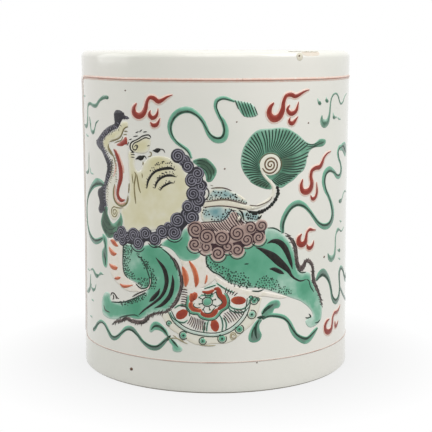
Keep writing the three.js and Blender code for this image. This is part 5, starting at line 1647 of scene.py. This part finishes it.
class Ribbons(bpy.types.Operator):
    """Paint the waving ribbons, bows and tassels"""
    bl_idname = "brushpot.ribbons"
    bl_label = "Ribbons"

    def execute(self, context):
        bands, folds = paints(context, 7, "enamel", "line")
        for route, grey in zip(RIBBONS, RIBBON_GREY):
            bands.stroke(route, taper=0.7, tone=grey)
            folds.fold(route)
        bands.stroke(SECOND_STRAND, tone=0.6)
        for outline in RIBBON_LEAVES:
            bands.fill(outline, thin=0.9, pools=LEAF_POOLS)
        folds.strokes(BOW_LINES)
        folds.hatch(TASSEL, -68, 1.05, 0.5)
        bands.build("ribbons_green", "green_enamel", "ribbon green enamel", "green_thin", "green",
                    "dull_green",
                    nodes=["ribbon_over_mane", "ribbon_left_loop", "ribbon_left_end",
                           "ribbon_ball_left", "ribbon_ball_left_tail", "ribbon_ball_right",
                           "ribbon_ball_right_leaf", "ribbon_ball_right_tail",
                           "ribbon_haunch_upper", "ribbon_haunch_lower"])
        folds.build("ribbon_folds", "green_enamel", "ribbon fold line", "leaf_line", "dark_green")
        return {"FINISHED"}


RED_FLAMES = [
    [(-33.6, 119, 1.1), (-35, 117.2, 2), (-34.9, 115, 2.7), (-33, 113.9, 2.9), (-30.8, 114.6, 2.7),
     (-29.3, 117, 2.2), (-28.7, 119.6, 1.7), (-27.4, 121.4, 1.7), (-25.4, 121.2, 2),
     (-23.4, 119.9, 2), (-19.4, 121.9, 0.9), (-17.2, 122.7, 0.4)],
    [(-27, 116.4, 0.8), (-27.6, 114.8, 1.8), (-26.4, 113.3, 2), (-24.8, 113.8, 1.7),
     (-23.8, 115.5, 1.1), (-23.6, 117.2, 0.5)],
    [(-27.2, 111.7, 0.7), (-26, 110.3, 1.9), (-24.3, 110.6, 1.8), (-22.7, 113.4, 0.4)],
    [(24, 119.5, 1.1), (22.4, 117.5, 2), (22, 115, 2.7), (23.8, 113, 3.2), (26.4, 113.7, 3),
     (28, 116.5, 2.5), (28.4, 119.5, 1.8), (29.7, 122.1, 1.8), (32, 122.5, 2), (34, 121.8, 1.8),
     (39, 123.7, 0.9), (41.6, 124.3, 0.4)],
    [(31.4, 118.4, 0.8), (30.2, 116.6, 1.6), (31.8, 114.9, 2.2), (34.3, 115.7, 1.8),
     (35.8, 119.6, 0.6)],
    [(31.6, 113.4, 0.7), (31.2, 111.6, 1.6), (32.6, 110.8, 2), (35.6, 113.6, 0.6)],
    [(38.6, 87.8, 0.9), (37.8, 85.2, 1.9), (38.5, 82.9, 2.5), (40.7, 82.2, 2.8), (43, 83.2, 2.8),
     (43.9, 85.6, 2.4), (43.2, 88.5, 2), (43.9, 90.9, 1.9), (46.2, 91.8, 1.9), (48.8, 92, 2.2),
     (50.4, 93.6, 2), (51.6, 95.6, 1.4), (54, 97.2, 0.9), (57.2, 98, 0.4)],
    [(43.2, 80.6, 0.9), (44.2, 79, 1.7), (46, 79.3, 1.8), (47.1, 81.3, 1.5), (46.8, 85.9, 0.5)],
    [(38.4, 64.9, 0.8), (36.9, 63.2, 2.4), (36.8, 61.2, 2.8), (38.4, 60.3, 2.8), (40.3, 61, 2.5),
     (41.5, 65.3, 1.2), (43, 66.2, 1.5), (45, 65.8, 0.9), (46.9, 65.6, 0.4)],
    [(41.3, 60.4, 0.8), (41.8, 58.8, 1.9), (43.4, 58.3, 1.9), (44.9, 59.4, 1.5),
     (45.5, 61.4, 0.6)],
    [(57.6, 25.2, 0.8), (55.4, 24.6, 1.5), (54, 22.9, 2.1), (54.4, 20.8, 2.4), (56.8, 19.6, 2.6),
     (59.2, 20.3, 2.3), (60.2, 22.6, 1.7), (60.8, 25.4, 1.5), (62.5, 26.8, 1.6), (65.4, 26.8, 1.6),
     (67.8, 27.6, 1.1), (70, 29, 0.5)],
    [(63, 23.2, 1.5), (63.4, 20.8, 1.8), (65.2, 21, 1.5), (66.9, 22.6, 0.6)],
]


class RedFlames(bpy.types.Operator):
    """Paint the iron red flames"""
    bl_idname = "brushpot.red_flames"
    bl_label = "Red flames"

    def execute(self, context):
        flames, halo = paints(context, 8, "enamel", "wash")
        flames.strokes(RED_FLAMES, taper=0.5)
        halo.strokes([[(u, z, width + 1.3) for u, z, width in route] for route in RED_FLAMES],
                     taper=0.5)
        flames.build("red_flames", "iron_red_enamel", "flame iron red", "red_thin", "red",
                     "red_deep", pool_mm=3,
                     nodes=["flame_above_mouth", "flame_above_tail", "flame_below_tail",
                            "flame_over_haunch", "flame_below_haunch"])
        halo.build("red_flame_halo", "iron_red_enamel", "flame bleed", "halo", "glaze")
        return {"FINISHED"}


# Long curls, then the dark drops and the single dashes between them
GREEN_FLAMES = [
    [(49.7, 113.6, 0.7), (49.6, 111.4, 2.6), (51.4, 109.9, 3.8), (53.8, 110.6, 3.1),
     (55.2, 113.2, 1.6), (56.4, 119.8, 0.9), (58.4, 121.8, 0.9), (61, 122.1, 0.9),
     (63.2, 120.7, 0.9), (64.6, 118.7, 0.9), (66.4, 117.6, 1), (69, 118.2, 0.8),
     (71.6, 120.4, 0.6), (75.4, 121.6, 0.4)],
    [(66.4, 76, 0.8), (68.4, 75.1, 1.8), (70.8, 76.2, 0.8), (73, 78.1, 0.7), (76, 78.8, 0.9),
     (80, 78, 0.5)],
    [(55.8, 54.4, 0.6), (57, 52.4, 2.4), (59.4, 51.4, 3), (61.8, 52.4, 2.4), (62.7, 55, 1.6),
     (63.3, 61.2, 1), (65.5, 63.2, 2), (68, 62.8, 0.9), (70.6, 61.8, 0.8), (75, 63, 0.4)],
    [(-50.4, 121, 1.8), (-53.6, 120.7, 1.8), (-56.8, 119.4, 1.5), (-59.8, 117.2, 1.9),
     (-62.8, 117, 1.8), (-66, 117.6, 1.5), (-69, 117, 1.5), (-70, 114.8, 1), (-71, 108.8, 1.9),
     (-73.4, 107.6, 2.2), (-77, 108, 0.8)],
    [(-58, 111, 0.6), (-60.4, 109.6, 0.9), (-61.6, 107.5, 0.8), (-63, 105.8, 1.8),
     (-65, 105.7, 1.9), (-66.2, 107.2, 1), (-66.8, 109.6, 1.5), (-67.6, 112, 0.6)],
    [(-69.6, 96.4, 0.5), (-70, 92, 0.8), (-70.4, 89, 1), (-72.2, 87.6, 1.8), (-75.6, 87.2, 0.7)],
    [(-70, 44.5, 0.6), (-67, 45.5, 1), (-62.2, 43.3, 2), (-60, 44.2, 1), (-58, 45.3, 1.5),
     (-56, 45, 0.6)],
    [(-70, 42.6, 0.8), (-70.4, 39, 1), (-71.2, 36.4, 1.8), (-74, 34.5, 2.2), (-77.4, 33.4, 0.8)],
    [(-63, 39.6, 0.5), (-64.2, 37.4, 0.9), (-66.6, 36.4, 1.8), (-68.6, 37, 0.9), (-69, 38.6, 0.5)],
]
GREEN_DROPS = [
    [(46.9, 119), (49, 118.2)], [(51.9, 119.8), (54.2, 119)], [(58.2, 112.6), (60.4, 111.8)],
    [(66.4, 75.4), (70, 75.6)], [(66.8, 53.8), (69.2, 53.6)], [(-52.6, 120.9), (-49.8, 120.8)],
    [(-64.6, 105.4), (-62.4, 106)], [(-63.2, 43.4), (-60.8, 43.8)], [(50.6, 110.2), (53.4, 110.4)],
]
GREEN_DASHES = [
    [(46.6, 120.6), (47.2, 118.8)], [(52.6, 121), (52.6, 119.4)], [(58.4, 114.2), (58.8, 112.4)],
    [(60.2, 112.4), (62, 112)], [(63, 112), (64.6, 111.2), (66.2, 111)],
    [(65.6, 54.4), (67.4, 53.7), (68.8, 53.6)], [(66.8, 50.6), (69.4, 49.5)],
    [(68, 67), (69.6, 66.2), (70.6, 66.2)], [(-73.6, 104.1), (-71.6, 103.5), (-69.8, 103.6)],
    [(-74, 120.6), (-77, 120.4)], [(-68.2, 90), (-67.5, 88), (-64.4, 87.6)],
    [(-74.6, 44.3), (-72, 44)], [(-68.6, 31.8), (-66, 31.5)], [(-70.6, 24), (-68, 23.8)],
]


# A drop lies this much higher than the curl under it
DROP_LIFT = 0.01


class GreenFlames(bpy.types.Operator):
    """Paint the thin green flames and clouds"""
    bl_idname = "brushpot.green_flames"
    bl_label = "Green flames"

    def execute(self, context):
        flames, = paints(context, 9, "enamel")
        flames.strokes(GREEN_FLAMES, taper=0.5, tone=0.3)
        flames.strokes(GREEN_DASHES, 0.9, taper=0.5)
        flames.height += DROP_LIFT
        flames.strokes(GREEN_DROPS, 1.7, taper=0.4, tone=0.6)
        flames.build("green_flames", "green_enamel", "flame green enamel", "green_thin",
                     "fan_thin", "fan_deep",
                     nodes=["green_flame_left_top", "green_flame_left_low",
                            "green_flame_right_top", "green_flame_right_low"])
        return {"FINISHED"}


# Middle and radius of each dark speck, and of the pale bleed round the one by the chip
KILN_SPECKS = [
    (-37.6, 7.2, 0.75), (17.2, 12.6, 0.3), (8.5, 112, 0.3), (3.7, 93.3, 0.35), (-39.5, 124, 0.35),
    (41.3, 110.7, 0.35), (53, 53.2, 0.5), (35.7, 138, 0.42),
]
SPECK_HALO = (36, 137.6, 1.7)


class KilnMarks(bpy.types.Operator):
    """Put on the kiln specks, the broken body of the lip's chip and its strip of painted shadow"""
    bl_idname = "brushpot.kiln_marks"
    bl_label = "Kiln marks"

    def execute(self, context):
        pot = context.scene.pot_sizes
        halo, specks = paints(context, 10, "wash", "enamel")
        halo.dot(*SPECK_HALO, sides=12)
        for u, z, radius in KILN_SPECKS:
            specks.dot(u, z, radius, stretch=1.3, tilt=15)
        specks.build("kiln_specks", "porcelain_body", "kiln speck", "speck", "fur_thin", panels=1)
        halo.build("kiln_speck_halo", "porcelain_body", "speck halo", "cream", "chip", panels=1)
        dress(chip_face(pot), broken_body_and_shadow(context.scene.pot_colours))
        return {"FINISHED"}


def chip_face(pot):
    """The broken body in the chip: a ragged patch a hair above the flat in the lip, tan along its
    upper edge, and a thin tan strip on the crest that runs on to its left. The tan edge and strip
    are painted shadow under the lip's crest."""
    lip_r, lip_z, round_lip = lip_curve(pot)
    out, up = math.cos(CHIP_TILT), math.sin(CHIP_TILT)
    hand = random.Random(5)
    verts, depths, faces = [], [], []
    rows, columns = 6, 40
    half, shadow_length = pot.chip_width / MM * 0.97, pot.chip_shadow_length / MM
    for i in range(columns + 1):
        along = (2 * half + shadow_length) * i / columns - half - shadow_length
        angle = pot.chip_place + along / WAIST_RADIUS
        bite = chip_bite(pot, along)
        shadow_line = along < -half
        if shadow_line:
            low, high = 1.0, 1.0 + hand.uniform(0.15, 0.35)
        else:
            reach = math.sqrt(max(2 * round_lip * bite - bite * bite, 0.01))
            low = -reach * hand.uniform(0.7, 0.9)
            high = max(reach * hand.uniform(0.85, 1), 1.15)
        for j in range(rows + 1):
            turn = (low + (high - low) * j / rows) / round_lip
            lift = min((round_lip + CHIP_LIFT) * math.cos(turn), round_lip - bite + CHIP_LIFT)
            across = (round_lip + CHIP_LIFT) * math.sin(turn)
            radius = lip_r + lift * out - across * up
            verts.append((radius * math.sin(angle) * MM, -radius * math.cos(angle) * MM,
                          (lip_z + lift * up + across * out) * MM))
            # The strip beside the chip is tan all over, and the chip turns tan towards its upper
            # edge: painted shadow under the crest.
            depths.append(1 if shadow_line else j / rows)
    for i in range(columns):
        for j in range(rows):
            corner = i * (rows + 1) + j
            faces.append((corner, corner + rows + 1, corner + rows + 2, corner + 1))
    piece = mesh_object("lip_chip_body", verts, faces)
    piece.data.attributes.new("depth", "FLOAT", "POINT").data.foreach_set("value", depths)
    return piece


# Where each lamp's softbox stands, in metres, and the length of its sides
LAMPS = {"right": (0.9, -0.4, 0.9), "left": (-1.05, 0.1, 0.5), "front": (0.0, -0.7, 0.85)}
SOFTBOX = 0.8


class Stage(bpy.types.Operator):
    """Set the table, lamps, surround and camera"""
    bl_idname = "brushpot.stage"
    bl_label = "Stage"

    def execute(self, context):
        stage = context.scene.stage_sizes
        table = lathe("table_top", [(4000.0, 0.0), (400.0, 0.0), (0, 0.0)], 96)
        table.data.materials.append(white_card())
        light_surround(stage.surround)
        for side, place in LAMPS.items():
            lamp(side + "_lamp", place, getattr(stage, side + "_power"))
        camera = bpy.data.cameras.new("photo_camera")
        camera.lens = stage.lens
        camera.sensor_width = 36.0
        view = bpy.data.objects.new("photo_camera", camera)
        view.location = (stage.camera_side, -stage.camera_distance, stage.camera_height)
        view.rotation_euler = (math.pi / 2 - stage.camera_pitch, 0.0, 0.0)
        context.scene.collection.objects.link(view)
        context.scene.camera = view
        context.scene.view_settings.view_transform = "Standard"
        return {"FINISHED"}


def background_ray(tree):
    """One for rays that see the background: straight, mirrored or through glass."""
    path = node(tree, "ShaderNodeLightPath").outputs
    seen = node(tree, "ShaderNodeMath", [(0, path["Is Camera Ray"]), (1, path["Is Glossy Ray"])],
                operation="MAXIMUM")
    return node(tree, "ShaderNodeMath", [(0, seen.outputs[0]), (1, path["Is Transmission Ray"])],
                operation="MAXIMUM").outputs[0]


# White card: matt, and seen brighter than it is lit. Near the pot it keeps the soft shadow,
# and farther out it rises to the white of the surround, so no edge shows behind the pot.
def white_card():
    material, tree, surface = new_material("white card", Roughness=0.9)
    surface.inputs["Base Color"].default_value = linear("888888")
    glow = node(tree, "ShaderNodeEmission", Color=(1, 1, 1, 1), Strength=1.0)
    place = node(tree, "ShaderNodeTexCoord").outputs["Object"]
    away = node(tree, "ShaderNodeVectorMath", [(0, place)], operation="LENGTH").outputs["Value"]
    fade = node(tree, "ShaderNodeMapRange", [("Value", away)],
                From_Min=0.06, From_Max=0.11, To_Min=0.82, To_Max=1.0)
    share = node(tree, "ShaderNodeMath", [(0, background_ray(tree)), (1, fade.outputs[0])],
                 operation="MULTIPLY")
    mixed = node(tree, "ShaderNodeMixShader",
                 [(0, share.outputs[0]), (1, surface.outputs[0]), (2, glow.outputs[0])])
    tree.links.new(tree.nodes["Material Output"].inputs["Surface"], mixed.outputs[0])
    return material


def light_surround(strength):
    """A white studio round the pot: white where it is seen, softer where it lights."""
    world = bpy.data.worlds.new("white surround")
    world.use_nodes = True
    tree = world.node_tree
    ground = tree.nodes["Background"]
    ground.inputs["Color"].default_value = (1, 1, 1, 1)
    level = node(tree, "ShaderNodeMapRange", [("Value", background_ray(tree))],
                 To_Min=strength, To_Max=1.0)
    tree.links.new(ground.inputs["Strength"], level.outputs[0])
    bpy.context.scene.world = world


def lamp(name, place, power):
    """A large square softbox that faces the middle of the pot."""
    light = bpy.data.lights.new(name, "AREA")
    light.energy = power
    light.size = SOFTBOX
    made = bpy.data.objects.new(name, light)
    made.location = place
    aim = Vector((0, 0, POT_HEIGHT * MM / 2)) - Vector(place)
    made.rotation_euler = aim.to_track_quat("-Z", "Y").to_euler()
    bpy.context.scene.collection.objects.link(made)


GROUPS = {"pot_sizes": PotSizes, "paint_sizes": PaintSizes, "pot_colours": PotColours,
          "stage_sizes": StageSizes}
STEPS = (ClayCore, GlazedVessel, FootRing, PanelBorders, LionHead, LionMane, LionBody, LionBack,
         LionTail, BrocadeBall, Ribbons, RedFlames, GreenFlames, KilnMarks, Stage)


class PotPanel(bpy.types.Panel):
    """The steps, sizes and colours of the brush pot"""
    bl_idname = "VIEW3D_PT_brush_pot"
    bl_label = "Brush Pot"
    bl_space_type = "VIEW_3D"
    bl_region_type = "UI"
    bl_category = "Brush Pot"

    def draw(self, context):
        for step in STEPS:
            self.layout.operator(step.bl_idname)
        for name, group in GROUPS.items():
            box = self.layout.box()
            box.label(text=group.__doc__)
            for setting in group.__annotations__:
                box.prop(getattr(context.scene, name), setting)


def register():
    for kind in (*GROUPS.values(), *STEPS, PotPanel):
        bpy.utils.register_class(kind)
    for name, group in GROUPS.items():
        setattr(bpy.types.Scene, name, bpy.props.PointerProperty(type=group))


def unregister():
    for name in GROUPS:
        delattr(bpy.types.Scene, name)
    for kind in reversed((*GROUPS.values(), *STEPS, PotPanel)):
        bpy.utils.unregister_class(kind)


def main():
    register()
    for step in STEPS:
        getattr(bpy.ops.brushpot, step.bl_idname.split(".")[1])()


if __name__ == "__main__":
    main()
